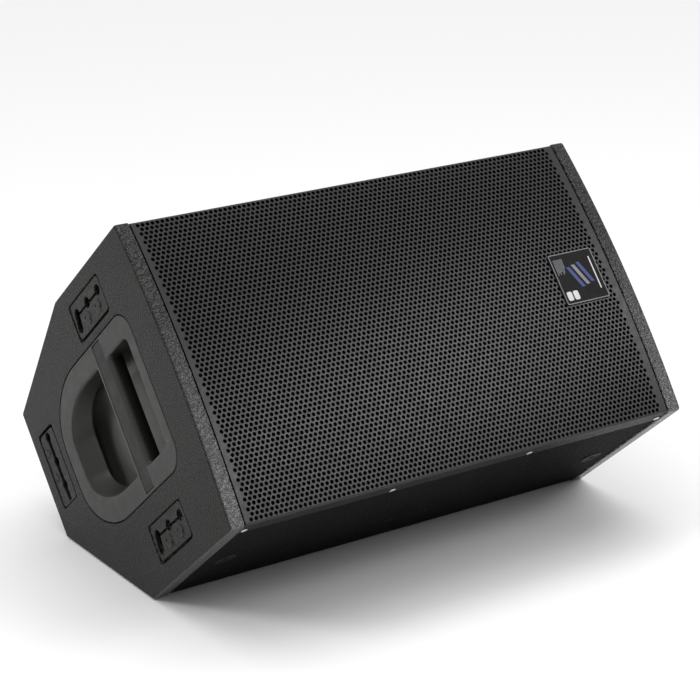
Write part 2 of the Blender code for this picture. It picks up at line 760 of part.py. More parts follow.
def build_baffle():
    """The board that carries the woofer and horn, with a port duct either side of the horn."""
    half = HALF - PROUD - BOARD - GAP
    outline = rectangle((0, 0), (2 * (INNER_X - GAP), 2 * half))
    horn = [2 * (size + HORN_WALL + OVERRUN) for size in HORN_MOUTH]
    holes = [
        circle((WOOFER_X, 0), WOOFER_HOLE, 32),
        rounded(rectangle((HORN_X, 0), horn), 0.012),
    ]
    for name, z in (("port_duct_lower", -PORT_Z), ("port_duct_upper", PORT_Z)):
        centre = (HORN_X, z)
        clear = rectangle(centre, [size + 2 * GAP for size in PORT_SIZE])
        holes.append(rounded(clear, PORT_CORNER, steps=2))
        outer = rounded(rectangle(centre, PORT_SIZE), PORT_CORNER, steps=2)
        bore = rectangle(centre, [size - 2 * PORT_WALL for size in PORT_SIZE])
        inner = rounded(bore, PORT_CORNER - PORT_WALL, steps=2)
        reach = (BAFFLE_FRONT, BAFFLE_FRONT + PORT_LENGTH)
        slab(name, "y", outer, *reach, "black_plastic", [inner])
    slab("front_baffle", "y", outline, BAFFLE_FRONT, BAFFLE_FRONT + BAFFLE, "side_coating", holes)


def build_woofer():
    """The woofer: cast basket, magnet with its gap, cone, coil, dust cap, spider and surround."""
    build_basket()
    place = (WOOFER_X, 0, 0)
    outside = MAGNET_RADIUS - MAGNET_WALL
    bottom = MAGNET_BACK_Y - 0.008
    ledge = MAGNET_Y + 0.008
    magnet = [
        (0, MAGNET_Y),
        (POLE_PIECE_RADIUS, MAGNET_Y),
        (POLE_PIECE_RADIUS, bottom),
        (GAP_OUTER_RADIUS, bottom),
        (GAP_OUTER_RADIUS, ledge),
        (GAP_OUTER_RADIUS - 0.004, ledge),
        (GAP_OUTER_RADIUS - 0.004, MAGNET_Y),
        (outside, MAGNET_Y),
        (outside, ledge),
        (MAGNET_RADIUS, ledge),
        (MAGNET_RADIUS, bottom),
        (outside, bottom),
        (outside, MAGNET_BACK_Y),
        (0, MAGNET_BACK_Y),
    ]
    turned("woofer_magnet", magnet, "plate_steel", place, steps=28)
    front = [(CONE_RADIUS, CONE_EDGE_Y), (CONE_EDGE, CONE_EDGE_Y), CONE_MIDDLE, (CONE_NECK, CONE_NECK_Y)]
    back = [(radius, y + CONE_PAPER) for radius, y in reversed(front)]
    turned("woofer_cone", front + back, "paper", place)
    coil_outer = COIL_RADIUS + 0.0017
    coil = [
        (COIL_RADIUS, CONE_NECK_Y),
        (coil_outer, CONE_NECK_Y),
        (coil_outer, COIL_BACK_Y),
        (COIL_RADIUS, COIL_BACK_Y),
    ]
    turned("voice_coil", coil, "copper", place, steps=28)
    turned("dust_cap", dome(DUST_CAP_RADIUS, DUST_CAP_Y, 0.015, 0.001), "paper", place, steps=24)
    turned("spider", spider_profile(), "paper", place, steps=24)
    turned("surround", surround_profile(), "rubber", place, steps=28)


def build_basket():
    """The woofer's cast frame, with windows between its arms."""
    rim_back = BAFFLE_FRONT - GAP
    neck = WOOFER_HOLE - 0.0012
    inside = ROLL_CENTRE
    basket = [
        (BASKET_RIM, BASKET_RIM_Y),
        (BASKET_RIM, rim_back),
        (neck, rim_back),
        (neck, 0.042),
        (BASKET_WAIST, BASKET_WAIST_Y),
        (BASKET_WAIST, BASKET_BACK_Y),
        (GAP_OUTER_RADIUS, BASKET_BACK_Y),
        (GAP_OUTER_RADIUS, BASKET_WAIST_Y + BASKET_WALL),
        (BASKET_WAIST - BASKET_WALL, BASKET_WAIST_Y + BASKET_WALL),
        (BASKET_WAIST - BASKET_WALL, BASKET_WAIST_Y - 0.002),
        (inside, 0.040),
        (inside, BASKET_RIM_Y),
    ]
    frame = turned("woofer_basket", basket, "casting", (WOOFER_X, 0, 0))
    for index in range(BASKET_WINDOWS):
        window = box(f"basket_window_{index + 1}", (-0.034, 0.052, 0.050), (0.034, 0.098, 0.150))
        spin = Matrix.Rotation(2 * math.pi * (index + 0.5) / BASKET_WINDOWS, 3, "Y")
        window.location = spin @ window.location.copy() + Vector((WOOFER_X, 0, 0))
        window.rotation_euler = spin.to_euler()
        boolean(frame, window)


def dome(radius, base, rise, thickness, steps=4):
    """A shallow dome's profile: rim at depth base, crown towards the front by rise."""
    front, back = [], []
    for step in range(steps + 1):
        r = radius * step / steps
        lift = rise * (1 - (r / radius) ** 2)
        front.append((r, base - lift))
        back.append((r, base - lift + thickness))
    return front + back[::-1]


def spider_profile():
    """A corrugated ring between the coil and the basket."""
    folds = 6
    rings = [CONE_NECK + SPIDER_WIDTH * step / folds for step in range(folds + 1)]
    wave = [(r, SPIDER_Y + SPIDER_WAVE * (-1) ** step) for step, r in enumerate(rings)]
    return wave + [(r, y + SPIDER_CLOTH) for r, y in reversed(wave)]


def surround_profile():
    """A half roll between a lip on the cone and a lip on the basket's rim."""
    skin = 0.0012
    front = [(ROLL_LIPS[0], ROLL_INNER_Y)]
    back = [(ROLL_LIPS[0], ROLL_INNER_Y + skin)]
    inner = ROLL_RADIUS - ROLL_SKIN
    steps = 5
    for step in range(steps + 1):
        turn = math.pi * step / steps
        base = ROLL_INNER_Y + (ROLL_OUTER_Y - ROLL_INNER_Y) * step / steps
        front.append((ROLL_CENTRE - ROLL_RADIUS * math.cos(turn), base - ROLL_RADIUS * math.sin(turn)))
        back.append((ROLL_CENTRE - inner * math.cos(turn), base + ROLL_SKIN - inner * math.sin(turn)))
    front.append((ROLL_LIPS[1], ROLL_OUTER_Y))
    back.append((ROLL_LIPS[1], ROLL_OUTER_Y + skin))
    return front + back[::-1]


def horn_ring(t, grow):
    """Half sizes and squareness of the horn's section, from the throat (t = 0) to the mouth (t = 1)."""
    flare = t**HORN_FLARE
    half = [HORN_THROAT + (size - HORN_THROAT) * flare + grow for size in HORN_MOUTH]
    return half, 2 + 5 * t


def horn_rings(steps=5):
    """The horn's rings, inside from mouth to throat, then back outside to the flange."""
    mouth_y = BAFFLE_FRONT - GAP
    face_y = mouth_y - HORN_FLANGE_THICKNESS
    rings = []
    for step in range(steps + 1):
        t = 1 - step / steps
        rings.append((*horn_ring(t, 0.0), face_y + (THROAT_Y - face_y) * (1 - t)))
    for step in range(steps):
        t = step / steps
        rings.append((*horn_ring(t, HORN_WALL), face_y + (THROAT_Y - face_y) * (1 - t)))
    rings.append((*horn_ring(1, HORN_WALL), mouth_y))
    rings.append((HORN_FLANGE, 12, mouth_y))
    rings.append((HORN_FLANGE, 12, face_y))
    return rings


def build_horn():
    """The horn: a loft from the driver's round throat to a rectangular mouth with a flange."""
    around = 28
    work = bmesh.new()
    loops = []
    for (a, b), power, y in horn_rings():
        loop = []
        for step in range(around):
            turn = 2 * math.pi * (step + 0.5) / around
            c, s = math.cos(turn), math.sin(turn)
            r = ((abs(c) / a) ** power + (abs(s) / b) ** power) ** (-1 / power)
            loop.append(work.verts.new((HORN_X + r * c, y, r * s)))
        loops.append(loop)
    for ring, after in zip(loops, loops[1:] + loops[:1]):
        for step in range(around):
            other = (step + 1) % around
            work.faces.new((ring[step], ring[other], after[other], after[step]))
    bmesh.ops.recalc_face_normals(work, faces=work.faces)
    add("horn", finish_mesh(work, "horn"), "black_plastic")
    build_horn_driver()


def build_horn_driver():
    """The compression driver's hollow housing and the diaphragm in it."""
    start, chamfer = THROAT_Y + GAP, 0.005
    chamber, chamber_y, chamber_back = 0.031, 0.150, 0.172
    housing = [
        (0, HORN_DRIVER_BACK),
        (HORN_DRIVER_RADIUS - chamfer, HORN_DRIVER_BACK),
        (HORN_DRIVER_RADIUS, HORN_DRIVER_BACK - chamfer),
        (HORN_DRIVER_RADIUS, start),
        (HORN_THROAT, start),
        (HORN_THROAT, chamber_y),
        (chamber, chamber_y),
        (chamber, chamber_back),
        (0, chamber_back),
    ]
    place = (HORN_X, 0, 0)
    turned("compression_driver", housing, "casting", place, steps=24)
    diaphragm = dome(DIAPHRAGM_RADIUS, DIAPHRAGM_Y, 0.008, 0.0006)
    turned("hf_diaphragm", diaphragm, "bright_metal", place, steps=20)


def build_tray():
    """The rear tray: a flanged pan of sheet with openings for what it carries."""
    work = bmesh.new()
    bmesh.ops.create_grid(work, x_segments=1, y_segments=1, size=0.5)
    bmesh.ops.scale(work, vec=(*TRAY_FLANGE, 1), verts=work.verts)
    work.normal_update()
    rim_width = (TRAY_FLANGE[1] - TRAY_SIZE[1]) / 2
    options = {"thickness": rim_width, "use_boundary": True, "use_even_offset": True}
    rim = bmesh.ops.inset_region(work, faces=work.faces[:], **options)["faces"]
    middle = [face for face in work.faces if face not in rim]
    for face in bmesh.ops.extrude_discrete_faces(work, faces=middle)["faces"]:
        bmesh.ops.translate(work, verts=face.verts, vec=(0, 0, -TRAY_DEPTH + TRAY_SHEET))
    place = (0, FLANGE_Y, REAR_Z)
    tray = add("rear_tray", finish_mesh(work, "rear_tray"), "black_plastic", place, FACING_REAR)
    sheet = tray.modifiers.new("Sheet", "SOLIDIFY")
    sheet.thickness = TRAY_SHEET
    sheet.offset = -1
    sheet.solidify_mode = "NON_MANIFOLD"
    sheet.nonmanifold_thickness_mode = "CONSTRAINTS"
    loops = [circle(on_tray(place), BARREL_HOLE) for place in CONNECTORS.values()]
    loops += [circle(on_tray(place), SPINDLE_HOLE, 16) for place in KNOBS.values()]
    loops += [rectangle(on_tray(place), (BUTTON_HOLE, BUTTON_HOLE)) for place in BUTTONS.values()]
    well = [size - SWITCH_BODY_MARGIN + OVERRUN for size in SWITCH_SIZE]
    loops.append(rectangle(on_tray(SWITCH_PLACE), well))
    reach = (FLOOR_Y - OVERRUN, TRAY_FACE + OVERRUN)
    boolean(tray, slab("tray_holes", "y", loops[0], *reach, others=loops[1:]))


def on_tray(place):
    """A place on the tray's floor, in (x, z)."""
    return place[0], REAR_Z + place[1]


def build_heat_sink():
    """A finned heat sink on the tray's floor."""
    low, high = REAR_Z - HEAT_SINK_HALF, REAR_Z + HEAT_SINK_HALF
    root, top = TRAY_FACE + HEAT_SINK_BASE, TRAY_FACE + HEAT_SINK_HEIGHT
    pitch = (high - low - FIN) / (FINS - 1)
    loop = [(TRAY_FACE, high), (TRAY_FACE, low)]
    for index in range(FINS):
        start = low + index * pitch
        loop += [(root, start), (top, start), (top, start + FIN), (root, start + FIN)]
    loop = [point for point in loop if point not in ((root, low), (root, high))]
    slab("heat_sink", "x", loop, *HEAT_SINK_X, "plate_steel")


def build_socket(name, finish, cup_radius, cup_depth):
    """A panel socket: flange on the tray's floor, barrel through it, and its cup."""
    centre = on_tray(CONNECTORS[name])
    front = TRAY_FACE + SOCKET_THICKNESS
    plate = rounded(rectangle(centre, SOCKET_FLANGE), SOCKET_CORNER, steps=3)
    body = slab(name, "y", plate, TRAY_FACE, front, finish)
    barrel_reach = (TRAY_FACE - BARREL_LENGTH, TRAY_FACE + OVERRUN)
    boolean(body, slab(name + "_barrel", "y", circle(centre, BARREL_RADIUS), *barrel_reach), "UNION")
    cup = slab(name + "_cup", "y", circle(centre, cup_radius), front - cup_depth, front + OVERRUN)
    boolean(body, cup)
    return body


def pin_places(centre):
    turns = [math.radians(angle) for angle in PIN_ANGLES]
    return [(centre[0] + PIN_CIRCLE * math.cos(t), centre[1] + PIN_CIRCLE * math.sin(t)) for t in turns]


def build_signal_sockets():
    """The signal input with its latch, and the signal output with its pins."""
    centre = on_tray(CONNECTORS["xlr_input"])
    body = build_socket("xlr_input", "black_plastic", SIGNAL_CUP, PLUG_FACE_DEPTH)
    holes = [circle(place, PIN_HOLE, 8) for place in pin_places(centre)]
    reach = (TRAY_FACE - CONTACT_DEPTH, TRAY_FACE + 2 * SOCKET_THICKNESS)
    boolean(body, slab("xlr_pin_holes", "y", holes[0], *reach, others=holes[1:]))
    middle = (centre[0], centre[1] + LATCH_OFFSET)
    pocket = rectangle(middle, [size + 2 * LATCH_CLEARANCE for size in LATCH_SIZE])
    reach = (TRAY_FACE + LATCH_FLOOR, TRAY_FACE + 2 * SOCKET_THICKNESS)
    boolean(body, slab("latch_pocket", "y", pocket, *reach))
    reach = [TRAY_FACE + height for height in LATCH_REACH]
    latch = slab("xlr_latch", "y", rectangle(middle, LATCH_SIZE), *reach, "bright_metal")
    bevel(latch, 0.0004, 1)
    body = build_socket("xlr_output", "black_plastic", SIGNAL_CUP, CUP_DEPTH)
    pins = [circle(place, PIN_RADIUS, 8) for place in pin_places(on_tray(CONNECTORS["xlr_output"]))]
    reach = (TRAY_FACE - CONTACT_DEPTH, TRAY_FACE + 0.0005)
    boolean(body, slab("xlr_pins", "y", pins[0], *reach, others=pins[1:]), "UNION")


def build_power_sockets():
    """The power inlet and the linked power outlet, each with a post in its cup."""
    for name, finish in (("power_inlet", "blue_plastic"), ("power_outlet", "grey_plastic")):
        body = build_socket(name, finish, POWER_CUP, CUP_DEPTH)
        post = circle(on_tray(CONNECTORS[name]), POST_RADIUS, 16)
        boolean(body, slab(name + "_post", "y", post, TRAY_FACE - CONTACT_DEPTH, TRAY_FACE), "UNION")


def build_knobs():
    """Two knobs on spindles through the tray's floor, each with a pointer on its top."""
    edge = 0.0007
    profile = [
        (0, KNOB_HEIGHT),
        (KNOB_TOP_RADIUS - edge, KNOB_HEIGHT),
        (KNOB_TOP_RADIUS, KNOB_HEIGHT - edge),
        (KNOB_RADIUS, KNOB_LIFT),
        (SPINDLE_RADIUS, KNOB_LIFT),
        (SPINDLE_RADIUS, -SPINDLE_LENGTH),
        (0, -SPINDLE_LENGTH),
    ]
    for name, place in KNOBS.items():
        x, z = on_tray(place)
        knob = turned(name, profile, "black_plastic", (x, TRAY_FACE, z), steps=18)
        top = TRAY_FACE + KNOB_HEIGHT
        low = (x - POINTER_HALF, top - 0.0035, z + POINTER_REACH[0])
        high = (x + POINTER_HALF, top + POINTER_RISE, z + POINTER_REACH[1])
        boolean(knob, box(name + "_pointer", low, high), "UNION")


def build_buttons():
    """Two square push buttons through the tray's floor."""
    for name, place in BUTTONS.items():
        outline = rectangle(on_tray(place), (BUTTON_SIZE, BUTTON_SIZE))
        reach = [TRAY_FACE + height for height in BUTTON_REACH]
        bevel(slab(name, "y", outline, *reach, "grey_plastic"), 0.0005, 1)


def build_switch():
    """The mains switch: a bezel with a well, and the rocker in it, tipped to its off side."""
    x, z = on_tray(SWITCH_PLACE)
    face = TRAY_FACE
    plate = rectangle((x, z), SWITCH_SIZE)
    bezel = slab("switch_bezel", "y", plate, face, face + SWITCH_FACE, "black_plastic")
    body = rectangle((x, z), [size - SWITCH_BODY_MARGIN for size in SWITCH_SIZE])
    boolean(bezel, slab("switch_body", "y", body, face - SWITCH_DEPTH, face + OVERRUN), "UNION")
    well = [size - SWITCH_WELL_MARGIN for size in SWITCH_SIZE]
    cutter = slab("switch_well", "y", rectangle((x, z), well), face - WELL_DEPTH, face + 2 * SWITCH_FACE)
    boolean(bezel, cutter)
    half = well[0] / 2 - ROCKER_END_GAP
    shoulder = 0.0015
    side = [
        (-half, ROCKER_ENDS),
        (0.0, ROCKER_DIP),
        (half, ROCKER_ENDS),
        (half - 0.0008, -shoulder),
        (ROCKER_DEPTH, -ROCKER_DEPTH),
        (-ROCKER_DEPTH, -ROCKER_DEPTH),
        (-half + 0.0008, -shoulder),
    ]
    depth = well[1] / 2 - ROCKER_SIDE_GAP
    rocker = slab("power_rocker", "x", side, -depth, depth, "black_plastic")
    rocker.rotation_euler = (0, 0, -ROCKER_TILT)
    rocker.location = (x, face + ROCKER_PIVOT, z)


def build_electronics():
    """Amplifier board and power supply behind the tray, on their standoffs."""
    under = FLOOR_Y - GAP
    top = under - STANDOFF
    low, high = REAR_Z - BOARD_HALF, REAR_Z + BOARD_HALF
    for name, (low_x, high_x) in BOARDS.items():
        board = box(name, (low_x, top - CIRCUIT_BOARD, low), (high_x, top, high), "circuit_board")
        posts = []
        for x in (low_x + STANDOFF_MARGIN, high_x - STANDOFF_MARGIN):
            for z in (low + STANDOFF_MARGIN, high - STANDOFF_MARGIN):
                posts.append(circle((x, z), STANDOFF_RADIUS, 8))
        overlap = top - CIRCUIT_BOARD / 2
        boolean(board, slab(name + "_posts", "y", posts[0], overlap, under, others=posts[1:]), "UNION")
        middle = (low_x + high_x) / 2
        core = circle((middle + COIL_CORE[0], REAR_Z), COIL_CORE[1], 20)
        heavy = rectangle((middle + HEAVY_PART[0], REAR_Z), HEAVY_PART[1:])
        parts = slab(name + "_parts", "y", core, top - PART_HEIGHT, overlap, others=[heavy])
        boolean(board, parts, "UNION")


def smooth_round_pieces():
    for obj in PARTS.objects:
        if obj.type != "MESH":
            continue
        obj.data.shade_smooth()
        obj.data.set_sharp_from_angle(angle=math.radians(35))
        for modifier in obj.modifiers:
            if modifier.type == "SCREW":
                modifier.use_smooth_shade = True


clear_scene()
PARTS = make_collection("stage_monitor_wedge")
CUTTERS = make_collection("cutters")
FRAME = make_cabinet_frame()
build_ends()
build_boards()
build_strips()
build_baffle()
build_grille()
build_woofer()
build_horn()
build_tray()
build_heat_sink()
build_signal_sockets()
build_power_sockets()
build_knobs()
build_buttons()
build_switch()
build_electronics()
smooth_round_pieces()
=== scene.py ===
import json
import math

import bmesh
import bpy
import numpy as np
from mathutils import Matrix, Vector
from mathutils.geometry import tessellate_polygon

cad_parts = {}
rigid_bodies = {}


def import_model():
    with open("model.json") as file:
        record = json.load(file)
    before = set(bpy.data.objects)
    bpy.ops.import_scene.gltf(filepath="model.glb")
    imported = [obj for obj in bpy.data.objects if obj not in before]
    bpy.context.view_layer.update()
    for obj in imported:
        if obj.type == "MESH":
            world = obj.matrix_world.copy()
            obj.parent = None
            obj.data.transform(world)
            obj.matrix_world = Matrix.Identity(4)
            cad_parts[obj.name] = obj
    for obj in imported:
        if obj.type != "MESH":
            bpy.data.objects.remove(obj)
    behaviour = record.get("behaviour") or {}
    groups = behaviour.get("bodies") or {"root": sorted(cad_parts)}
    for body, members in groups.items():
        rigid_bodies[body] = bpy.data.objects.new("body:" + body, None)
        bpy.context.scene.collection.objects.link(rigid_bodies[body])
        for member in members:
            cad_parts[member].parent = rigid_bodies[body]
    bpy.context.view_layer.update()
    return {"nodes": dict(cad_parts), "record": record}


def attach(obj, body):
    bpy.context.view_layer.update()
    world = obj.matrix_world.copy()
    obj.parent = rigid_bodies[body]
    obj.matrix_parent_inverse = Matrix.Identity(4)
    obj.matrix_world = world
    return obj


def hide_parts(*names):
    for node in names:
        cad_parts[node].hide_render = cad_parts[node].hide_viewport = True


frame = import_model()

# ---------------------------------------------------------------- camera, light and floor

CAMERA_PLACE = (-1.36625, -2.05048, 1.07168)
CAMERA_RIGHT = (0.83043, -0.55706, -0.00846)
CAMERA_DOWN = (-0.19146, -0.27108, -0.94332)
CAMERA_FORWARD = (0.52320, 0.78499, -0.33177)
CAMERA_LENS = 118.5


def make_camera():
    data = bpy.data.cameras.new("camera")
    data.lens = CAMERA_LENS
    data.sensor_width = 36.0
    data.clip_start, data.clip_end = 0.05, 60.0
    camera = bpy.data.objects.new("camera", data)
    bpy.context.scene.collection.objects.link(camera)
    right, up = Vector(CAMERA_RIGHT), -Vector(CAMERA_DOWN)
    back = -Vector(CAMERA_FORWARD)
    turn = Matrix((right, up, back)).transposed()
    camera.matrix_world = Matrix.Translation(CAMERA_PLACE) @ turn.to_4x4()
    bpy.context.scene.camera = camera


def area_light(name, place, target, size, power, colour=(1, 1, 1)):
    data = bpy.data.lights.new(name, "AREA")
    data.shape = "RECTANGLE"
    data.size, data.size_y = size
    data.energy = power
    data.color = colour
    light = bpy.data.objects.new(name, data)
    light.location = place
    aim = Vector(target) - Vector(place)
    light.rotation_euler = aim.to_track_quat("-Z", "Y").to_euler()
    bpy.context.scene.collection.objects.link(light)


def make_studio():
    world = bpy.data.worlds.new("studio")
    world.use_nodes = True
    backdrop = world.node_tree.nodes["Background"]
    backdrop.inputs["Color"].default_value = (1.0, 1.0, 1.0, 1)
    backdrop.inputs["Strength"].default_value = 0.36
    bpy.context.scene.world = world
    bpy.context.scene.view_settings.view_transform = "Standard"
    middle = (0.0, 0.0, 0.2)
    area_light("front", (1.20, -1.55, 1.75), middle, (1.4, 0.7), 21)
    area_light("side", (-1.95, 0.20, 1.64), (-0.3, 0.0, 0.2), (0.6, 0.6), 15)
    overhead = bpy.data.lights.new("overhead", "SUN")
    overhead.energy, overhead.angle = 1.9, math.radians(80)
    light = bpy.data.objects.new("overhead", overhead)
    light.rotation_euler = (math.radians(-14), math.radians(6), 0)
    bpy.context.scene.collection.objects.link(light)
    material = Finish("floor", (0.93, 0.93, 0.93), 0.75).material
    work = bmesh.new()
    bmesh.ops.create_grid(work, x_segments=8, y_segments=8, size=15)
    mesh = bpy.data.meshes.new("floor")
    work.to_mesh(mesh)
    work.free()
    mesh.materials.append(material)
    floor = bpy.data.objects.new("floor", mesh)
    bpy.context.scene.collection.objects.link(floor)


# ---------------------------------------------------------------- materials


class Finish:
    """A procedural material whose textures follow the object's own place, in metres."""

    def __init__(self, name, colour, roughness, metallic=0.0, slot=None, specular=0.5):
        self.material = bpy.data.materials.new(name)
        self.material.use_nodes = True
        self.material.diffuse_color = (*colour, 1)
        self.name, self.slot = name, slot or name
        self.colour, self.roughness = colour, roughness
        self.tree = self.material.node_tree
        self.shader = self.tree.nodes["Principled BSDF"]
        self.shader.inputs["Base Color"].default_value = (*colour, 1)
        self.shader.inputs["Roughness"].default_value = roughness
        self.shader.inputs["Metallic"].default_value = metallic
        self.shader.inputs["Specular IOR Level"].default_value = specular
        self.place = self.tree.nodes.new("ShaderNodeTexCoord").outputs["Object"]
        self.normal = None

    def node(self, kind, **inputs):
        made = self.tree.nodes.new(kind)
        for name, value in inputs.items():
            socket = made.inputs[name.replace("_", " ")]
            if isinstance(value, bpy.types.NodeSocket):
                self.tree.links.new(value, socket)
            else:
                socket.default_value = value
        return made

    def noise(self, scale, detail=2.0, stretch=None):
        place = self.place
        if stretch:
            place = self.node("ShaderNodeMapping", Vector=place, Scale=stretch).outputs["Vector"]
        made = self.node("ShaderNodeTexNoise", Vector=place, Scale=scale, Detail=detail)
        return made.outputs["Fac"]

    def cells(self, scale, randomness=1.0):
        made = self.node("ShaderNodeTexVoronoi", Vector=self.place, Scale=scale, Randomness=randomness)
        return made.outputs["Distance"]

    def along(self, direction, shift):
        """How far a place lies along a direction, plus the shift."""
        product = self.node("ShaderNodeVectorMath")
        product.operation = "DOT_PRODUCT"
        self.tree.links.new(self.place, product.inputs[0])
        product.inputs[1].default_value = direction
        total = self.node("ShaderNodeMath")
        total.operation = "ADD"
        self.tree.links.new(product.outputs["Value"], total.inputs[0])
        total.inputs[1].default_value = shift
        return total.outputs[0]

    def spread(self, value, low, high, to_low, to_high):
        made = self.node("ShaderNodeMapRange", Value=value)
        for name, number in zip(("From Min", "From Max", "To Min", "To Max"), (low, high, to_low, to_high)):
            made.inputs[name].default_value = number
        return made.outputs["Result"]

    def tint(self, value, dark, light, low=0.35, high=0.65):
        """Colour runs from dark to light times the base colour as the value rises."""
        factor = self.spread(value, low, high, 0.0, 1.0)
        mix = self.tree.nodes.new("ShaderNodeMix")
        mix.data_type = "RGBA"
        self.tree.links.new(factor, mix.inputs["Factor"])
        current = self.shader.inputs["Base Color"]
        source = current.links[0].from_socket if current.links else None
        for number, share in ((6, dark), (7, light)):
            if source is None:
                mix.inputs[number].default_value = (*[c * share for c in self.colour], 1)
            else:
                scaled = self.tree.nodes.new("ShaderNodeMix")
                scaled.data_type, scaled.blend_type = "RGBA", "MULTIPLY"
                scaled.inputs["Factor"].default_value = 1.0
                self.tree.links.new(source, scaled.inputs[6])
                scaled.inputs[7].default_value = (share, share, share, 1)
                self.tree.links.new(scaled.outputs[2], mix.inputs[number])
        self.tree.links.new(mix.outputs[2], current)
        return self

    def gloss(self, value, low, high):
        """Roughness runs from low to high as the value rises."""
        self.tree.links.new(self.spread(value, 0.3, 0.7, low, high), self.shader.inputs["Roughness"])
        return self

    def relief(self, value, height, strength=1.0):
        """A bump of that height in metres, on top of the ones before it."""
        bump = self.node("ShaderNodeBump", Height=value, Distance=height, Strength=strength)
        if self.normal is not None:
            self.tree.links.new(self.normal, bump.inputs["Normal"])
        self.normal = bump.outputs["Normal"]
        self.tree.links.new(self.normal, self.shader.inputs["Normal"])
        return self


def sprayed(name, colour, roughness, specular, slot=None, contrast=1.0, height=0.0014):
    """Sprayed polyurea: fine pebbles with a low sheen, slightly uneven."""
    made = Finish(name, colour, roughness, slot=slot, specular=specular)
    pebbles = made.noise(620.0, 2.5)
    made.tint(pebbles, 1 - 0.9 * contrast, 1 + 2.4 * contrast, 0.41, 0.66)
    made.tint(made.noise(14.0, 3.0), 0.93, 1.07)
    made.gloss(made.noise(520.0), roughness - 0.10, roughness + 0.12)
    made.relief(made.noise(540.0, 1.5), height, 1.0)
    return made


def edge_glossed(made):
    """The coating is glossier and lumpier round the edge of an end panel than on its face.

    The gloss rises towards the lower edge, as the light does in the photograph.
    """
    reach = made.node("ShaderNodeMath", Value=made.along((1.0, 0.0, 0.0), -FRAME_PLACE[0]))
    reach.operation = "ABSOLUTE"
    upward = made.along((0.0, SINE, COSINE), -SINE * FRAME_PLACE[1] - COSINE * FRAME_PLACE[2])
    # painted sheen: the edge's specular level rises towards the lower end to stand in for light falling there
    painted_sheen = made.spread(upward, -0.15, 0.06, 1.5, 0.42)
    limits = {"From_Min": EDGE_FROM, "From_Max": EDGE_TO, "To_Min": painted_sheen, "To_Max": 0.09}
    gloss = made.node("ShaderNodeMapRange", Value=reach.outputs[0], **limits)
    made.tree.links.new(gloss.outputs["Result"], made.shader.inputs["Specular IOR Level"])
    roughness = made.spread(reach.outputs[0], EDGE_FROM, EDGE_TO, 0.15, 0.34)
    made.tree.links.new(roughness, made.shader.inputs["Roughness"])
    lumps = made.spread(reach.outputs[0], EDGE_FROM, EDGE_TO, 1.0, 0.0)
    made.relief(made.noise(260.0, 2.0), 0.0050, lumps)
    return made


def painted_handle_light_and_shade(made):
    """Painted light and shade on the handle: its slot is darkened inside as painted shade, and the floor of its
    cup is made paler as painted light.
    """
    depth = made.along((1.0, 0.0, 0.0), END_X - FRAME_PLACE[0])
    across = made.along((0.0, COSINE, -SINE), -COSINE * FRAME_PLACE[1] + SINE * FRAME_PLACE[2])
    # painted light: the cup's floor gets up to six times paler the deeper it lies
    floor = made.spread(depth, 0.030, 0.042, 1.0, 6.0)
    # painted shade: the slot in front of the bar gets darker the deeper it goes
    slot = made.spread(depth, 0.003, 0.012, 0.0, 0.75)
    front = made.spread(across, 0.119, 0.124, 1.0, 0.0)
    both = made.node("ShaderNodeMath")
    both.operation = "MULTIPLY"
    made.tree.links.new(slot, both.inputs[0])
    made.tree.links.new(front, both.inputs[1])
    made.tint(both.outputs[0], 1.0, 0.0, 0.0, 1.0)
    made.tint(floor, 1.0, 6.0, 1.0, 6.0)
    return made


def painted(name, colour, roughness, metallic=0.0, grain=1500.0, slot=None, depth=0.00004, specular=0.5):
    """A thin coat of paint or powder: faint orange peel and slight unevenness."""
    made = Finish(name, colour, roughness, metallic, slot, specular)
    made.tint(made.noise(35.0, 4.0), 0.9, 1.1)
    made.gloss(made.noise(160.0, 3.0), roughness - 0.05, roughness + 0.06)
    made.relief(made.noise(grain, 2.0), depth, 0.6)
    return made


def moulded(name, colour, roughness, slot=None, grain=2600.0, depth=0.00005, specular=0.5):
    """Moulded plastic: a fine spark-eroded grain, faintly mottled."""
    made = Finish(name, colour, roughness, slot=slot, specular=specular)
    made.tint(made.noise(22.0, 4.0), 0.94, 1.06)
    made.tint(made.noise(900.0, 2.0), 0.93, 1.06)
    made.gloss(made.noise(70.0, 4.0), roughness - 0.05, roughness + 0.06)
    made.relief(made.noise(grain, 2.0), depth, 0.7)
    return made


def machined(name, colour, roughness, slot=None, stretch=(1.0, 1.0, 0.06)):
    """Metal with a fine lay of scratches along one direction."""
    made = Finish(name, colour, roughness, 1.0, slot)
    scratches = made.noise(2400.0, 3.0, stretch)
    made.tint(made.noise(60.0, 3.0), 0.86, 1.1)
    made.gloss(scratches, max(roughness - 0.12, 0.05), roughness + 0.14)
    made.relief(scratches, 0.00002, 0.5)
    return made


def woven(name, colour, roughness, pitch, slot=None):
    """Cloth: two crossed sets of threads."""
    made = Finish(name, colour, roughness, slot=slot)
    threads = []
    for direction in ("X", "Z"):
        wave = made.node("ShaderNodeTexWave", Vector=made.place, Scale=1.0 / pitch, Distortion=0.6)
        wave.bands_direction = direction
        threads.append(wave.outputs["Fac"])
    both = made.node("ShaderNodeMath")
    both.operation = "MULTIPLY"
    for socket, thread in zip(both.inputs, threads):
        made.tree.links.new(thread, socket)
    made.tint(both.outputs[0], 0.6, 1.25, 0.1, 0.9)
    made.relief(both.outputs[0], 0.0003, 0.8)
    return made


def wound(name, colour, roughness, pitch, slot=None):
    """A winding: fine turns lying side by side."""
    made = Finish(name, colour, roughness, 0.9, slot)
    local = made.node("ShaderNodeMapping", Vector=made.place, Rotation=(WEDGE_TILT, 0.0, 0.0))
    wave = made.node("ShaderNodeTexWave", Vector=local.outputs["Vector"], Scale=1.0 / pitch)
    wave.bands_direction = "Y"
    made.tint(wave.outputs["Fac"], 0.55, 1.15, 0.1, 0.9)
    made.relief(wave.outputs["Fac"], 0.0002, 0.8)
    return made


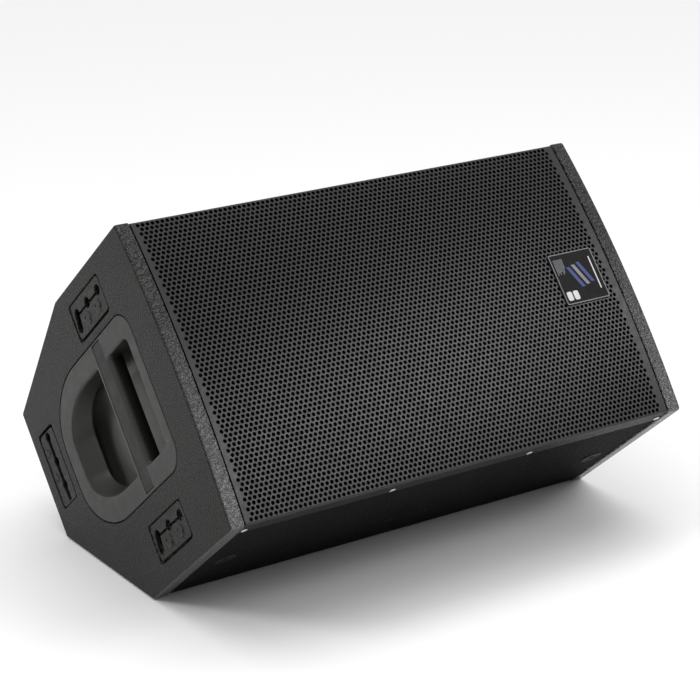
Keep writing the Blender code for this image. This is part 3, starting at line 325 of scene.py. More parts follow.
def porous(name, colour, slot=None):
    """Open-cell foam."""
    made = Finish(name, colour, 0.95, slot=slot, specular=0.05)
    holes = made.cells(700.0)
    made.tint(holes, 1.6, 0.35, 0.2, 0.7)
    made.relief(holes, 0.0008, 0.9)
    return made


def make_circuit_board():
    """Green solder mask with paler traces, and darker parts standing on it."""
    made = Finish("circuit_board", (0.02, 0.13, 0.05), 0.35)
    made.tint(made.cells(220.0, 0.4), 0.7, 1.5, 0.3, 0.5)
    made.gloss(made.noise(90.0), 0.25, 0.5)
    made.relief(made.cells(220.0, 0.4), 0.0002, 0.4)
    return made


WEDGE_TILT = math.radians(40)
EDGE_FROM, EDGE_TO = 0.2937, 0.2958  # the end panels' rounding ends and their flat face begins, from the middle
FINISHES = {}


def make_finishes():
    made = [
        edge_glossed(sprayed("textured_coating", (0.0113, 0.0113, 0.0106), 0.32, 0.10)),
        # side_coating: the same sprayed coating as the end panels, made darker and almost without sheen as painted
        # shade on the sides
        sprayed("side_coating", (0.0080, 0.0080, 0.0080), 0.55, 0.012, contrast=0.5, height=0.0006),
        painted("point_coating", (0.012, 0.012, 0.012), 0.45, 0.0, 900.0, "side_coating", specular=0.06),
        sprayed("plate_coating", (0.0140, 0.0140, 0.0131), 0.40, 0.12, "plate_steel", 0.6, 0.0004),
        painted("grille_steel", (0.013, 0.013, 0.0153), 0.36, 0.0, 1800.0, specular=0.38),
        # grille_flange: the grille's own steel made darker and nearly without sheen, as painted shade on the bent
        # flanges
        painted("grille_flange", (0.008, 0.008, 0.009), 0.40, 0.0, 1800.0, "grille_steel", specular=0.06),
        # the handle plastic carries painted shade in its slot and painted light on its cup floor
        painted_handle_light_and_shade(moulded("handle_plastic", (0.0225, 0.0225, 0.0212), 0.42, specular=0.26)),
        moulded("grip_insert", (0.0165, 0.0165, 0.0156), 0.52, "handle_plastic", 1400.0, 0.00012, 0.20),
        moulded("black_plastic", (0.022, 0.022, 0.022), 0.42),
        moulded("button_plastic", (0.10, 0.10, 0.11), 0.35),
        moulded("rocker_plastic", (0.016, 0.016, 0.016), 0.28),
        moulded("socket_plastic", (0.020, 0.020, 0.021), 0.40),
        moulded("inlet_plastic", (0.030, 0.090, 0.30), 0.40),
        moulded("outlet_plastic", (0.40, 0.40, 0.41), 0.42),
        moulded("rubber", (0.016, 0.016, 0.016), 0.78, grain=1100.0, depth=0.00015),
        machined("plate_steel", (0.16, 0.16, 0.165), 0.34),
        machined("bright_metal", (0.72, 0.72, 0.73), 0.24),
        machined("contact_gold", (0.83, 0.62, 0.26), 0.22, "socket_plastic"),
        machined("dark_steel", (0.09, 0.09, 0.095), 0.42),
        machined("heat_sink_metal", (0.045, 0.045, 0.048), 0.38, stretch=(0.05, 1.0, 1.0)),
        painted("tray_metal", (0.030, 0.030, 0.031), 0.46, 0.1, 1300.0, depth=0.00009),
        painted("casting", (0.085, 0.085, 0.09), 0.48, 0.3, 700.0, depth=0.0002),
        painted("badge", (0.009, 0.009, 0.010), 0.5, 0.0, 2600.0, specular=0.10),
        painted("badge_rim", (0.16, 0.16, 0.17), 0.40, 0.3, 2600.0, "badge", specular=0.2),
        painted("badge_blue", (0.055, 0.070, 0.21), 0.45, 0.0, 2600.0, "badge", specular=0.2),
        painted("badge_grey", (0.22, 0.22, 0.24), 0.45, 0.0, 2600.0, "badge", specular=0.2),
        painted("print_white", (0.62, 0.62, 0.62), 0.5, 0.0, 2600.0, "tray_metal"),
        porous("acoustic_foam", (0.004, 0.004, 0.004)),
        woven("woven_spider", (0.45, 0.33, 0.16), 0.85, 0.0009),
        woven("paper_cone", (0.030, 0.030, 0.030), 0.8, 0.0016),
        wound("copper_winding", (0.70, 0.35, 0.15), 0.35, 0.0006),
        make_circuit_board(),
    ]
    for finish in made:
        FINISHES[finish.name] = finish


def finish_cad_nodes():
    """The nodes that stay on show take the material of their own slot."""
    slots = {row["node"]: row["material_slot"] for row in frame["record"]["subparts"]}
    for name, node in frame["nodes"].items():
        finish = FINISHES[slots[name]]
        if not node.material_slots:
            node.data.materials.append(finish.material)
        for holder in node.material_slots:
            holder.material = finish.material


# ---------------------------------------------------------------- sizes, in the cabinet's own frame
# x runs from the handle end to the foot end, y from the front to the rear, z across the front.

LENGTH, WIDTH, DEPTH = 0.592, 0.345, 0.3753
FRONT_BULGE = 0.0107
LOWER_SIDE_DEPTH, UPPER_SIDE_DEPTH, REAR_HIGH = 0.221, 0.1935, 0.112
END_THICKNESS, BOARD, PROUD, REAR_INSET = 0.017, 0.015, 0.0015, 0.004
FOOT_HEIGHT, STRIP_PROUD, GAP = 0.008, 0.001, 0.0003
END_X, HALF = LENGTH / 2, WIDTH / 2
INNER_X = END_X - END_THICKNESS
REAR_LOW = -HALF + (DEPTH - LOWER_SIDE_DEPTH) * math.tan(WEDGE_TILT)
REAR_Z = (REAR_LOW + REAR_HIGH) / 2
ARC_RADIUS = (HALF**2 + FRONT_BULGE**2) / (2 * FRONT_BULGE)
CORNERS = (
    (0.0, -HALF),
    (LOWER_SIDE_DEPTH, -HALF),
    (DEPTH, REAR_LOW),
    (DEPTH, REAR_HIGH),
    (UPPER_SIDE_DEPTH, HALF),
    (0.0, HALF),
)
SINE, COSINE = math.sin(WEDGE_TILT), math.cos(WEDGE_TILT)
FRAME_PLACE = (
    -(FOOT_HEIGHT + GAP) / 2,
    -(-HALF * SINE + DEPTH * COSINE + REAR_HIGH * SINE) / 2,
    LOWER_SIDE_DEPTH * SINE + HALF * COSINE + STRIP_PROUD,
)
TO_ROW = Matrix.Translation(FRAME_PLACE) @ Matrix.Rotation(-WEDGE_TILT, 4, "X")

RECESS_SIZE, PLATE_SIZE, PLATE_SHIFT = (0.091, 0.0448), (0.0868, 0.0402), (0.0008, 0.0013)
PLATE_CORNER, PLATE_THICKNESS, PLATE_RECESS, PLATE_CAVITY = 0.005, 0.003, 0.0043, 0.013
PLATE_PLACES = {
    "upper": (0.1215, 0.131, 0.0),
    "lower": (0.1268, -0.1278, 0.0),
    "rear": (0.3326, 0.0287, -90.0),
}
LOBE_RADIUS, LOBE_PLACES, LOBE_OFFSET = 0.006, (-0.032, 0.0, 0.032), 0.0078
NECK_OFFSET, NECK_HALF, SLOT_END = 0.0062, 0.0013, (0.0355, -0.0068)
TRACK_PLACES, TRACK_HALF, TRACK_END = (-0.0355, -0.0055, 0.0235), 0.0036, 0.0415

HANDLE_Z, HANDLE_Y, HANDLE_HALF = 0.0095, (0.047, 0.296), 0.0895
HANDLE_CORNERS = ((0.028, 0.026), (0.090, 0.066))
HANDLE_DEPTH, BAR_DEPTH, HANDLE_FLANGE = 0.044, 0.019, 0.004
BAR_NEAR, BAR_FAR = 0.118, 0.153
FINGER_NEAR, FINGER_FAR, FINGER_HALF = 0.067, 0.272, 0.063
RIM_FAR, LIP_FAR, LIP_NARROWING = 0.270, 0.248, 0.94
RIM_CORNER, SPACE_CORNER = (0.079, 0.045), (0.030, 0.030)
CUP_Y, CUP_SIZE, CUP_CORNER = 0.171, (0.214, 0.142), 0.020

FLANGE_Y = DEPTH - REAR_INSET + GAP + 0.002
FLOOR_Y = FLANGE_Y - 0.026
TRAY_FACE = FLOOR_Y + 0.0023

# ---------------------------------------------------------------- outlines


def rectangle(centre, size):
    (u, v), (a, b) = centre, (size[0] / 2, size[1] / 2)
    return [(u - a, v - b), (u + a, v - b), (u + a, v + b), (u - a, v + b)]


def circle(centre, radius, steps=32, start=0.0):
    turns = [start + 2 * math.pi * step / steps for step in range(steps)]
    return [(centre[0] + radius * math.cos(t), centre[1] + radius * math.sin(t)) for t in turns]


def rounded(corners, radii, steps=6):
    """The outline with an arc at each corner; radii is one radius or one for each corner."""
    if isinstance(radii, float):
        radii = [radii] * len(corners)
    loop = []
    for index, radius in enumerate(radii):
        here = Vector(corners[index])
        if radius == 0:
            loop.append(tuple(here))
            continue
        before = (Vector(corners[index - 1]) - here).normalized()
        after = (Vector(corners[(index + 1) % len(corners)]) - here).normalized()
        half = before.angle(after) / 2
        centre = here + (before + after).normalized() * radius / math.sin(half)
        start = (here + before * radius / math.tan(half) - centre).normalized()
        end = (here + after * radius / math.tan(half) - centre).normalized()
        for step in range(steps + 1):
            loop.append(tuple(centre + start.slerp(end, step / steps) * radius))
    return loop


def soft_rectangle(centre, size, radius, steps=6):
    return rounded(rectangle(centre, size), radius, steps)


def oval(near, far, low, high, near_corner, far_corner, steps=12):
    """A four-sided (y, z) outline with elliptic corners."""
    loop = []
    places = ((far, high, far_corner), (near, high, near_corner), (near, low, near_corner), (far, low, far_corner))
    for quarter, (end, side, (a, b)) in enumerate(places):
        y = end - a if end == far else end + a
        z = side - b if side == high else side + b
        for step in range(steps + 1):
            turn = (quarter + step / steps) * math.pi / 2
            loop.append((y + a * math.cos(turn), z + b * math.sin(turn)))
    return loop


def offset(loop, distance):
    """The loop with each side moved outwards."""
    if abs(distance) < 1e-9:
        return list(loop)
    area = sum(a[0] * b[1] - b[0] * a[1] for a, b in zip(loop, loop[1:] + loop[:1]))
    side = distance if area > 0 else -distance
    moved = []
    for before, here, after in zip(loop[-1:] + loop[:-1], loop, loop[1:] + loop[:1]):
        a = (Vector(here) - Vector(before)).normalized()
        b = (Vector(after) - Vector(here)).normalized()
        normal = Vector((a.y + b.y, -a.x - b.x)).normalized()
        stretch = max(normal.dot(Vector((a.y, -a.x))), 0.3)
        moved.append(tuple(Vector(here) + normal * side / stretch))
    return moved


def front_y(z):
    """Depth of the end panels' bulging front edge."""
    return ARC_RADIUS - FRONT_BULGE - math.sqrt(ARC_RADIUS**2 - z**2)


def rounding(radius, steps):
    """(depth, inset) down a rounded edge, from the face to the side."""
    if radius == 0:
        return [(0.0, 0.0)]
    turns = [math.pi / 2 * step / steps for step in range(steps + 1)]
    return [(radius * (1 - math.cos(t)), radius * (1 - math.sin(t))) for t in turns]


# ---------------------------------------------------------------- meshes


class Shape:
    """Points and faces gathered in the cabinet's own frame, in loops across one axis."""

    def __init__(self, axis="x"):
        self.axis, self.points, self.faces = axis, [], []

    def place(self, loop, depth):
        start = len(self.points)
        for u, v in loop:
            point = {"x": (depth, u, v), "y": (u, depth, v), "z": (u, v, depth)}[self.axis]
            self.points.append(point)
        return list(range(start, len(self.points)))

    def join(self, rings, closed=True):
        for a, b in zip(rings, rings[1:]):
            for i in range(len(a) if closed else len(a) - 1):
                j = (i + 1) % len(a)
                self.faces.append((a[i], a[j], b[j], b[i]))

    def stack(self, centre, profile, steps, sign=1, face=0.0):
        """Round rings through (radius, height) points above a face; returns them unjoined."""
        return [self.place(circle(centre, radius, steps), sign * (face + along)) for radius, along in profile]

    def cap(self, rings):
        """Fills the first ring; the others are holes in it."""
        keep = [i for i in range(3) if i != "xyz".index(self.axis)]
        loops = [[Vector([self.points[i][k] for k in keep] + [0.0]) for i in ring] for ring in rings]
        numbers = [i for ring in rings for i in ring]
        for triangle in tessellate_polygon(loops):
            self.faces.append(tuple(numbers[i] for i in triangle))

    def edge(self, loop, low, high, low_edge, high_edge, sign, steps=4):
        """The wall of a loop from low to high with both of its edges rounded; returns its end rings."""
        rings = []
        for depth, inset in rounding(low_edge, steps):
            rings.append(self.place(offset(loop, sign * inset), low + depth))
        for depth, inset in reversed(rounding(high_edge, steps)):
            rings.append(self.place(offset(loop, sign * inset), high - depth))
        self.join(rings)
        return rings[0], rings[-1]

    def pocket(self, loop, face, inwards, levels, mouth=0.0004, holes=()):
        """A blind hole from a face: levels are (loop, depth) down to its floor. Returns its mouth."""
        rings = []
        for depth, inset in rounding(mouth, 3):
            rings.append(self.place(offset(loop, inset), face + inwards * depth))
        for level, depth in levels:
            rings.append(self.place(level, face + inwards * depth))
        self.join(rings)
        self.cap([rings[-1], *holes])
        return rings[0]

    def mesh(self, name):
        made = bpy.data.meshes.new(name)
        made.from_pydata(self.points, [], self.faces)
        return made


def tidy(mesh):
    work = bmesh.new()
    work.from_mesh(mesh)
    bmesh.ops.remove_doubles(work, verts=work.verts, dist=1e-6)
    bmesh.ops.recalc_face_normals(work, faces=work.faces)
    work.to_mesh(mesh)
    work.free()
    return mesh


def show(name, mesh, finish, body="cabinet", replaces=(), smooth=32, clean=True, weighted=True, flat=False):
    """A piece of the object, from a mesh in the cabinet's own frame."""
    if isinstance(mesh, Shape):
        mesh = mesh.mesh(name)
    if clean:
        tidy(mesh)
    mesh.transform(TO_ROW)
    if not flat:
        mesh.shade_smooth()
        mesh.set_sharp_from_angle(angle=math.radians(smooth))
    mesh.materials.clear()
    mesh.materials.append(FINISHES[finish].material)
    piece = bpy.data.objects.new(name, mesh)
    bpy.context.scene.collection.objects.link(piece)
    if weighted:
        normals = piece.modifiers.new("Normals", "WEIGHTED_NORMAL")
        normals.keep_sharp = True
    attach(piece, body)
    if replaces:
        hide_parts(*replaces)
    return piece


def slab(name, axis, loops, low, high, finish, edge=0.0005, steps=3, back_edge=None, **options):
    """An outline with holes, drawn along an axis from low to high with rounded edges."""
    shape = Shape(axis)
    back_edge = edge if back_edge is None else back_edge
    ends = []
    for index, loop in enumerate(loops):
        ends.append(shape.edge(loop, low, high, back_edge, edge, 1 if index else -1, steps))
    shape.cap([end[0] for end in ends])
    shape.cap([end[1] for end in ends])
    return show(name, shape, finish, **options)


def turned(name, axis, centre, profile, finish, steps=48, **options):
    """A body turned about an axis, from (radius, place along it) points that end on the axis."""
    shape = Shape(axis)
    rings = [shape.place(circle(centre, radius, steps), along) for radius, along in profile if radius > 0]
    shape.join(rings)
    if profile[0][0] == 0:
        shape.cap([rings[0]])
    if profile[-1][0] == 0:
        shape.cap([rings[-1]])
    if profile[0][0] > 0 and profile[-1][0] > 0:
        shape.join([rings[-1], rings[0]])
    return show(name, shape, finish, **options)


def carve(mesh, cutters):
    """The mesh with each closed cutter taken out of it."""
    scene = bpy.context.scene.collection.objects
    base = bpy.data.objects.new("base", tidy(mesh))
    scene.link(base)
    others = []
    for cutter in cutters:
        other = bpy.data.objects.new("cutter", tidy(cutter))
        scene.link(other)
        others.append(other)
        cut = base.modifiers.new("Cut", "BOOLEAN")
        cut.object, cut.solver, cut.operation = other, "EXACT", "DIFFERENCE"
    evaluated = base.evaluated_get(bpy.context.evaluated_depsgraph_get())
    made = bpy.data.meshes.new_from_object(evaluated)
    for obj in (base, *others):
        bpy.data.objects.remove(obj)
    return made


# ---------------------------------------------------------------- end panels, plates and handle


def end_outline():
    steps = 40
    heights = [HALF * (1 - 2 * step / steps) for step in range(steps + 1)]
    arc = [(front_y(z), z) for z in heights]
    loop = arc + list(CORNERS[1:5])
    radii = [0.004] + [0.0] * (len(arc) - 2) + [0.004] * 5
    return rounded(loop, radii, steps=7)


def plate_point(place, u, v):
    y, z, turn = place
    angle = math.radians(turn)
    return (
        y + u * math.cos(angle) - v * math.sin(angle),
        z + u * math.sin(angle) + v * math.cos(angle),
    )


def plate_outline(place, size, radius, shift=(0.0, 0.0)):
    corners = rectangle(shift, size)
    return rounded([plate_point(place, *corner) for corner in corners], radius, steps=6)


def lobe_arc(u, v, start, end, steps):
    """Points round a lobe from one angle to another."""
    turns = [start + (end - start) * step / steps for step in range(steps + 1)]
    return [(u + LOBE_RADIUS * math.cos(turn), v + LOBE_RADIUS * math.sin(turn)) for turn in turns]


def keyhole_outline():
    """The opening of a front plate: three round lobes joined by necks, the last running on into a slot."""
    low = math.asin((NECK_OFFSET - NECK_HALF - LOBE_OFFSET) / LOBE_RADIUS)
    high = math.asin((NECK_OFFSET + NECK_HALF - LOBE_OFFSET) / LOBE_RADIUS)
    first, middle, last = LOBE_PLACES
    loop = lobe_arc(first, LOBE_OFFSET, 2 * math.pi + low, high, steps=24)
    loop += lobe_arc(middle, LOBE_OFFSET, math.pi - high, high, steps=14)
    loop += lobe_arc(last, LOBE_OFFSET, math.pi - high, 0.0, steps=12)
    loop += lobe_arc(*SLOT_END, 0.0, -math.pi, steps=14)
    loop.append((last - LOBE_RADIUS * math.cos(low), NECK_OFFSET - NECK_HALF))
    return loop + lobe_arc(middle, LOBE_OFFSET, low, -math.pi - low, steps=12)


def track_outline():
    """The opening of a rear plate: a straight slot with three round lobes along it."""
    start = math.asin(TRACK_HALF / LOBE_RADIUS)
    first, middle, last = TRACK_PLACES
    loop = lobe_arc(first, 0.0, 2 * math.pi - start, start, steps=24)
    loop += lobe_arc(middle, 0.0, math.pi - start, start, steps=9)
    loop += lobe_arc(last, 0.0, math.pi - start, start, steps=9)
    loop += [(TRACK_END, TRACK_HALF), (TRACK_END, -TRACK_HALF)]
    loop += lobe_arc(last, 0.0, -start, start - math.pi, steps=9)
    return loop + lobe_arc(middle, 0.0, -start, start - math.pi, steps=9)


def handle_outline(grow):
    near, far = HANDLE_Y[0] - grow, HANDLE_Y[1] + grow
    low, high = HANDLE_Z - HANDLE_HALF - grow, HANDLE_Z + HANDLE_HALF + grow
    corners = [[half + grow for half in corner] for corner in HANDLE_CORNERS]
    return oval(near, far, low, high, *corners, steps=14)


def build_end_panel(name, sign):
    """An end panel with its three plate pockets, and its opening for the handle or pole socket."""
    shape = Shape("x")
    face, inner = sign * END_X, sign * INNER_X
    outline = end_outline()
    through = handle_outline(0.0010) if sign < 0 else circle((0.172, 0.0), 0.022, 48)
    rings = []
    for depth, inset in rounding(0.0025, 6):
        rings.append(shape.place(offset(outline, -inset), face - sign * depth))
    for depth, inset in reversed(rounding(0.0015, 3)):
        rings.append(shape.place(offset(outline, -inset), inner + sign * depth))
    shape.join(rings)
    hole = [shape.place(offset(through, inset), face - sign * depth) for depth, inset in rounding(0.0008, 3)]
    hole.append(shape.place(through, inner))
    shape.join(hole)
    mouths = []
    for place in PLATE_PLACES.values():
        pocket = plate_outline(place, RECESS_SIZE, PLATE_CORNER)
        mouths.append(shape.pocket(pocket, face, -sign, [(pocket, PLATE_CAVITY)], mouth=0.0007))
    shape.cap([rings[0], hole[0], *mouths])
    shape.cap([rings[-1], hole[-1]])
    show(name, shape, "textured_coating", replaces=[name], smooth=40)


def build_plates(end, sign):
    """The three rigging plates of an end, each with two snake-eye screws."""
    rest = END_X - PLATE_RECESS + GAP
    face = rest + PLATE_THICKNESS
    low, high = sorted((sign * rest, sign * face))
    for place_name, place in PLATE_PLACES.items():
        name = f"rigging_plate_{end}_{place_name}"
        rear = place_name == "rear"
        opening = [plate_point(place, *point) for point in (track_outline() if rear else keyhole_outline())]
        loops = [plate_outline(place, PLATE_SIZE, PLATE_CORNER, PLATE_SHIFT), opening]
        slab(name, "x", loops, low, high, "plate_coating", edge=0.0006, replaces=[name])
        spots = ((-0.0205, 0.0138), (0.0090, 0.0138)) if rear else ((-0.0215, -0.0065), (0.0100, -0.0065))
        radius = 0.0052 if rear else 0.0078
        for index, spot in enumerate(spots):
            screw = f"{name}_screw_{index + 1}"
            build_snake_eye(screw, plate_point(place, *spot), sign, face, radius, place[2])


def build_snake_eye(name, centre, sign, face, radius, turn):
    """A low countersunk screw head with a pair of driver holes."""
    shape = Shape("x")
    rings = []
    for share, along in ((0.985, -0.0008), (1.0, 0.0001), (0.97, 0.0004), (0.9, 0.0006)):
        rings.append(shape.place(circle(centre, radius * share, 48), sign * (face + along)))
    shape.join(rings)
    holes = []
    for half_turn in (0, math.pi):
        angle = math.radians(turn + 30) + half_turn
        place = (centre[0] + radius * 0.70 * math.cos(angle), centre[1] + radius * 0.70 * math.sin(angle))
        loop = circle(place, radius * 0.20, 18)
        holes.append(shape.pocket(loop, sign * (face + 0.0006), -sign, [(loop, 0.0013)], 0.0003))
    shape.cap([rings[-1], *holes])
    shape.cap([rings[0]])
    show(name, shape, "plate_coating")


def curl(depth, radius):
    """How far an edge of that radius has opened at a depth below its face."""
    if depth >= radius:
        return 0.0
    return radius - math.sqrt(max(radius**2 - (radius - max(depth, 0.0)) ** 2, 0.0))


def loft(name, sections):
    """A closed mesh through (depth, loop) sections across the handle end's face."""
    shape = Shape("x")
    rings = [shape.place(loop, -END_X + depth) for depth, loop in sections]
    shape.join(rings)
    shape.cap([rings[0]])
    shape.cap([rings[-1]])
    return shape.mesh(name)


def depths(*stops):
    """Depths from stop to stop, in the number of steps given between them."""
    listed = [stops[0]]
    for steps, stop in zip(stops[1::2], stops[2::2]):
        start = listed[-1]
        listed += [start + (stop - start) * step / steps for step in range(1, steps + 1)]
    return listed


def finger_slot():
    """The cutter in front of the grip bar, with the bar's rounded front."""
    sections = []
    low, high = HANDLE_Z - FINGER_HALF, HANDLE_Z + FINGER_HALF
    for depth in depths(-0.001, 1, 0.0, 8, 0.0065, 2, 0.013, 6, BAR_DEPTH + 0.0002):
        over = curl(depth, 0.0022)
        near = FINGER_NEAR - curl(depth, 0.0030)
        far = BAR_NEAR + curl(depth, 0.0065) + curl(BAR_DEPTH - depth, 0.0055)
        loop = oval(near, far, low - over, high + over, (0.0080, 0.0075), (0.0040, 0.0040))
        bowed = []
        for y, z in loop:
            share = (far - y) / (far - near)
            across = (z - HANDLE_Z) / FINGER_HALF
            bowed.append((y - 0.0035 * share * max(1 - across**2, 0.0), z))
        sections.append((depth, bowed))
    return loft("finger_slot", sections)


def rear_pocket():
    """The cutter behind the grip bar: a sloping apron from the rim down to a lip."""
    sections = []
    for depth in depths(-0.001, 1, 0.0, 6, 0.003, 5, 0.015, 6, BAR_DEPTH + 0.0002):
        share = min(max(depth - 0.0015, 0.0) / (BAR_DEPTH - 0.0015), 1.0)
        share = share**0.88
        lip = curl(BAR_DEPTH - depth, 0.0026)
        over = curl(depth, 0.0026) + lip
        near = BAR_FAR - curl(depth, 0.0030) - curl(BAR_DEPTH - depth, 0.0055)
        far = RIM_FAR + (LIP_FAR - RIM_FAR) * share + over
        half = FINGER_HALF * (1 - (1 - LIP_NARROWING) * share) + over
        corner = [size * (1 - 0.12 * share) + over for size in RIM_CORNER]
        sections.append((depth, oval(near, far, HANDLE_Z - half, HANDLE_Z + half, (0.003, 0.003), corner)))
    return loft("rear_pocket", sections)


def hand_space():
    """The cutter inside the handle's cup, with a filleted floor."""
    sections = []
    floor = HANDLE_DEPTH - 0.003
    fillet = 0.012
    for depth in depths(BAR_DEPTH, 1, floor - fillet, 10, floor):
        inset = curl(floor - depth, fillet)
        near, far = FINGER_NEAR - 0.0005 + inset, FINGER_FAR - inset
        half = FINGER_HALF - 0.0005 - inset
        far_corner = [size - inset * 0.7 for size in SPACE_CORNER]
        near_corner = (0.014 - inset * 0.7, 0.014 - inset * 0.7)
        sections.append((depth, oval(near, far, HANDLE_Z - half, HANDLE_Z + half, near_corner, far_corner)))
    return loft("hand_space", sections)


def build_handle():
    """The flush bar handle with a textured insert let into its bar."""
    shape = Shape("x")
    outline, face = handle_outline(0.0), -END_X
    cup = rounded(rectangle((CUP_Y, HANDLE_Z), CUP_SIZE), CUP_CORNER, steps=14)
    rings = [shape.place(offset(outline, -inset), face + depth) for depth, inset in rounding(0.0011, 4)]
    rings.append(shape.place(outline, face + HANDLE_FLANGE))
    shape.join(rings)
    cup_rings = [shape.place(cup, face + HANDLE_FLANGE), shape.place(cup, face + HANDLE_DEPTH)]
    shape.join(cup_rings)
    shape.cap([rings[0]])
    shape.cap([rings[-1], cup_rings[0]])
    shape.cap([cup_rings[-1]])
    middle, size = ((0.1360, 0.0100), (0.0225, 0.1735))
    groove = Shape("x")
    loop = soft_rectangle(middle, size, 0.0012, 4)
    groove.join([groove.place(offset(loop, 0.0004), face - 0.001), groove.place(loop, face + 0.0004)])
    groove.join([[*range(len(loop), 2 * len(loop))], groove.place(loop, face + 0.0013)])
    groove.cap([[*range(len(loop))]])
    groove.cap([[*range(2 * len(loop), 3 * len(loop))]])
    cutters = [finger_slot(), rear_pocket(), hand_space(), groove.mesh("groove")]
    mesh = carve(shape.mesh("carry_handle"), cutters)
    show("carry_handle", mesh, "handle_plastic", replaces=["carry_handle"], smooth=38)
    insert = soft_rectangle(middle, (size[0] - 0.0005, size[1] - 0.0026), 0.0010, 4)
    low, high = face + 0.0003, face + 0.0013
    slab("carry_handle_insert", "x", [insert], low, high, "grip_insert", edge=0.0, back_edge=0.0004)


# ---------------------------------------------------------------- grille and badge

HOLE_PITCH, ROW_PITCH, HOLE_RADIUS = 0.00587, 0.0052, 0.00226
ROWS, HOLES_PER_ROW = 65, 92
WIDE_ROW_START, NARROW_ROW_START = -0.2700, -0.267065
GRILLE_INSET, SHEET = 0.0012, 0.0015
PERFORATED_HALF = 0.16875
GRILLE_SIDE = HALF - PROUD
GRILLE_FLANGE = 0.027


def grille_depth(z):
    return front_y(z) + GRILLE_INSET


def build_grille():
    """The perforated sheet, in two halves, bent over both of its long edges."""
    limit = INNER_X - 0.0016
    a, b = HOLE_PITCH, ROW_PITCH
    half = [(a / 2, b / 3), (0, 2 * b / 3), (-a / 2, b / 3)]
    corners = np.array(half + [(-x, -z) for x, z in half])
    ring_turns = np.radians(np.arange(12) * 30.0)
    ring = np.stack([np.cos(ring_turns), np.sin(ring_turns)], 1) * HOLE_RADIUS
    triangles = []
    for k in range(6):
        here, after = 12 + k, 12 + (k + 1) % 6
        first = 1 + 2 * k
        second, third = (first + 1) % 12, (first + 2) % 12
        triangles += [(here, second, first), (here, after, second), (after, third, second)]
    triangles = np.array(triangles)
    rows = [(row - (ROWS - 1) / 2) * b for row in range(ROWS)]
    starts = [WIDE_ROW_START if row % 2 == 0 else NARROW_ROW_START for row in range(ROWS)]
    halves = {"left": ([], []), "right": ([], [])}
    top = PERFORATED_HALF

    def add(side, points, faces):
        verts, polys = halves[side]
        start = len(verts)
        verts.extend(points)
        polys.extend([tuple(start + i for i in face) for face in faces])

    for row, (z, start) in enumerate(zip(rows, starts)):
        for column in range(HOLES_PER_ROW):
            x = start + column * a
            outline = corners + (x, z)
            if row == ROWS - 1:
                outline[:3, 1] = top
            if row == 0:
                outline[3:, 1] = -top
            points = [tuple(p) for p in ring + (x, z)] + [tuple(p) for p in outline]
            add("left" if column < HOLES_PER_ROW // 2 else "right", points, triangles)
    for side, sign in (("left", -1), ("right", 1)):
        line = []
        for row, (z, start) in enumerate(zip(rows, starts)):
            end = start - a / 2 if sign < 0 else start + (HOLES_PER_ROW - 1) * a + a / 2
            line.append((end, -top if row == 0 else z - b / 3))
            line.append((end, top if row == ROWS - 1 else z + b / 3))
        for (x0, z0), (x1, z1) in zip(line, line[1:]):
            add(side, [(x0, z0), (x1, z1), (sign * limit, z1), (sign * limit, z0)], [(0, 1, 2, 3)])
    for side, (verts, polys) in halves.items():
        sheet = [(x, grille_depth(z), z) for x, z in verts]
        faces = list(polys)
        for sign in (-1, 1):
            last = starts[-1] if sign > 0 else starts[0]
            seam = last + (HOLES_PER_ROW // 2 - 0.5) * a
            if side == "left":
                across = [-limit] + [last - a / 2 + a / 2 * i for i in range(HOLES_PER_ROW + 1)]
            else:
                across = [seam + a / 2 * i for i in range(HOLES_PER_ROW + 1)] + [limit]
            profile = bend_profile()
            start = len(sheet)
            for y, z in profile:
                sheet.extend((x, y, sign * z) for x in across)
            wide = len(across)
            for i in range(len(profile) - 1):
                for j in range(wide - 1):
                    p = start + i * wide + j
                    faces.append((p, p + 1, p + wide + 1, p + wide))
        mesh = bpy.data.meshes.new(f"front_grille_{side}")
        mesh.from_pydata(sheet, [], faces)
        tidy(mesh)
        aim_forwards(mesh)
        options = {"replaces": ["front_grille"], "clean": False, "weighted": False, "flat": True}
        piece = show(f"front_grille_{side}", mesh, "grille_steel", **options)
        solid = piece.modifiers.new("Sheet", "SOLIDIFY")
        solid.thickness, solid.offset = SHEET, -1
        solid.use_even_offset = False
    start = bend_profile()[-1][0]
    for side, sign in (("lower", -1), ("upper", 1)):
        middle = ((start + GRILLE_FLANGE) / 2, sign * (GRILLE_SIDE - SHEET / 2))
        loop = soft_rectangle(middle, (GRILLE_FLANGE - start, SHEET), 0.0004)
        # the flanges take the darker grille_flange finish, which is painted shade
        show(f"front_grille_flange_{side}", board_shape(loop, -limit, limit), "grille_flange")


def bend_profile():
    """(y, z) points from the perforated front round the bend."""
    radius = GRILLE_SIDE - PERFORATED_HALF
    start = grille_depth(PERFORATED_HALF)
    points = []
    for step in range(6):
        turn = math.pi / 2 * step / 5
        points.append((start + radius * (1 - math.cos(turn)), PERFORATED_HALF + radius * math.sin(turn)))
    return points


def aim_forwards(mesh):
    """Turns the sheet's faces so that its outside is the front."""
    front = [face for face in mesh.polygons if abs(face.center.z) < 0.1]
    if sum(face.normal.y for face in front) > 0:
        mesh.flip_normals()


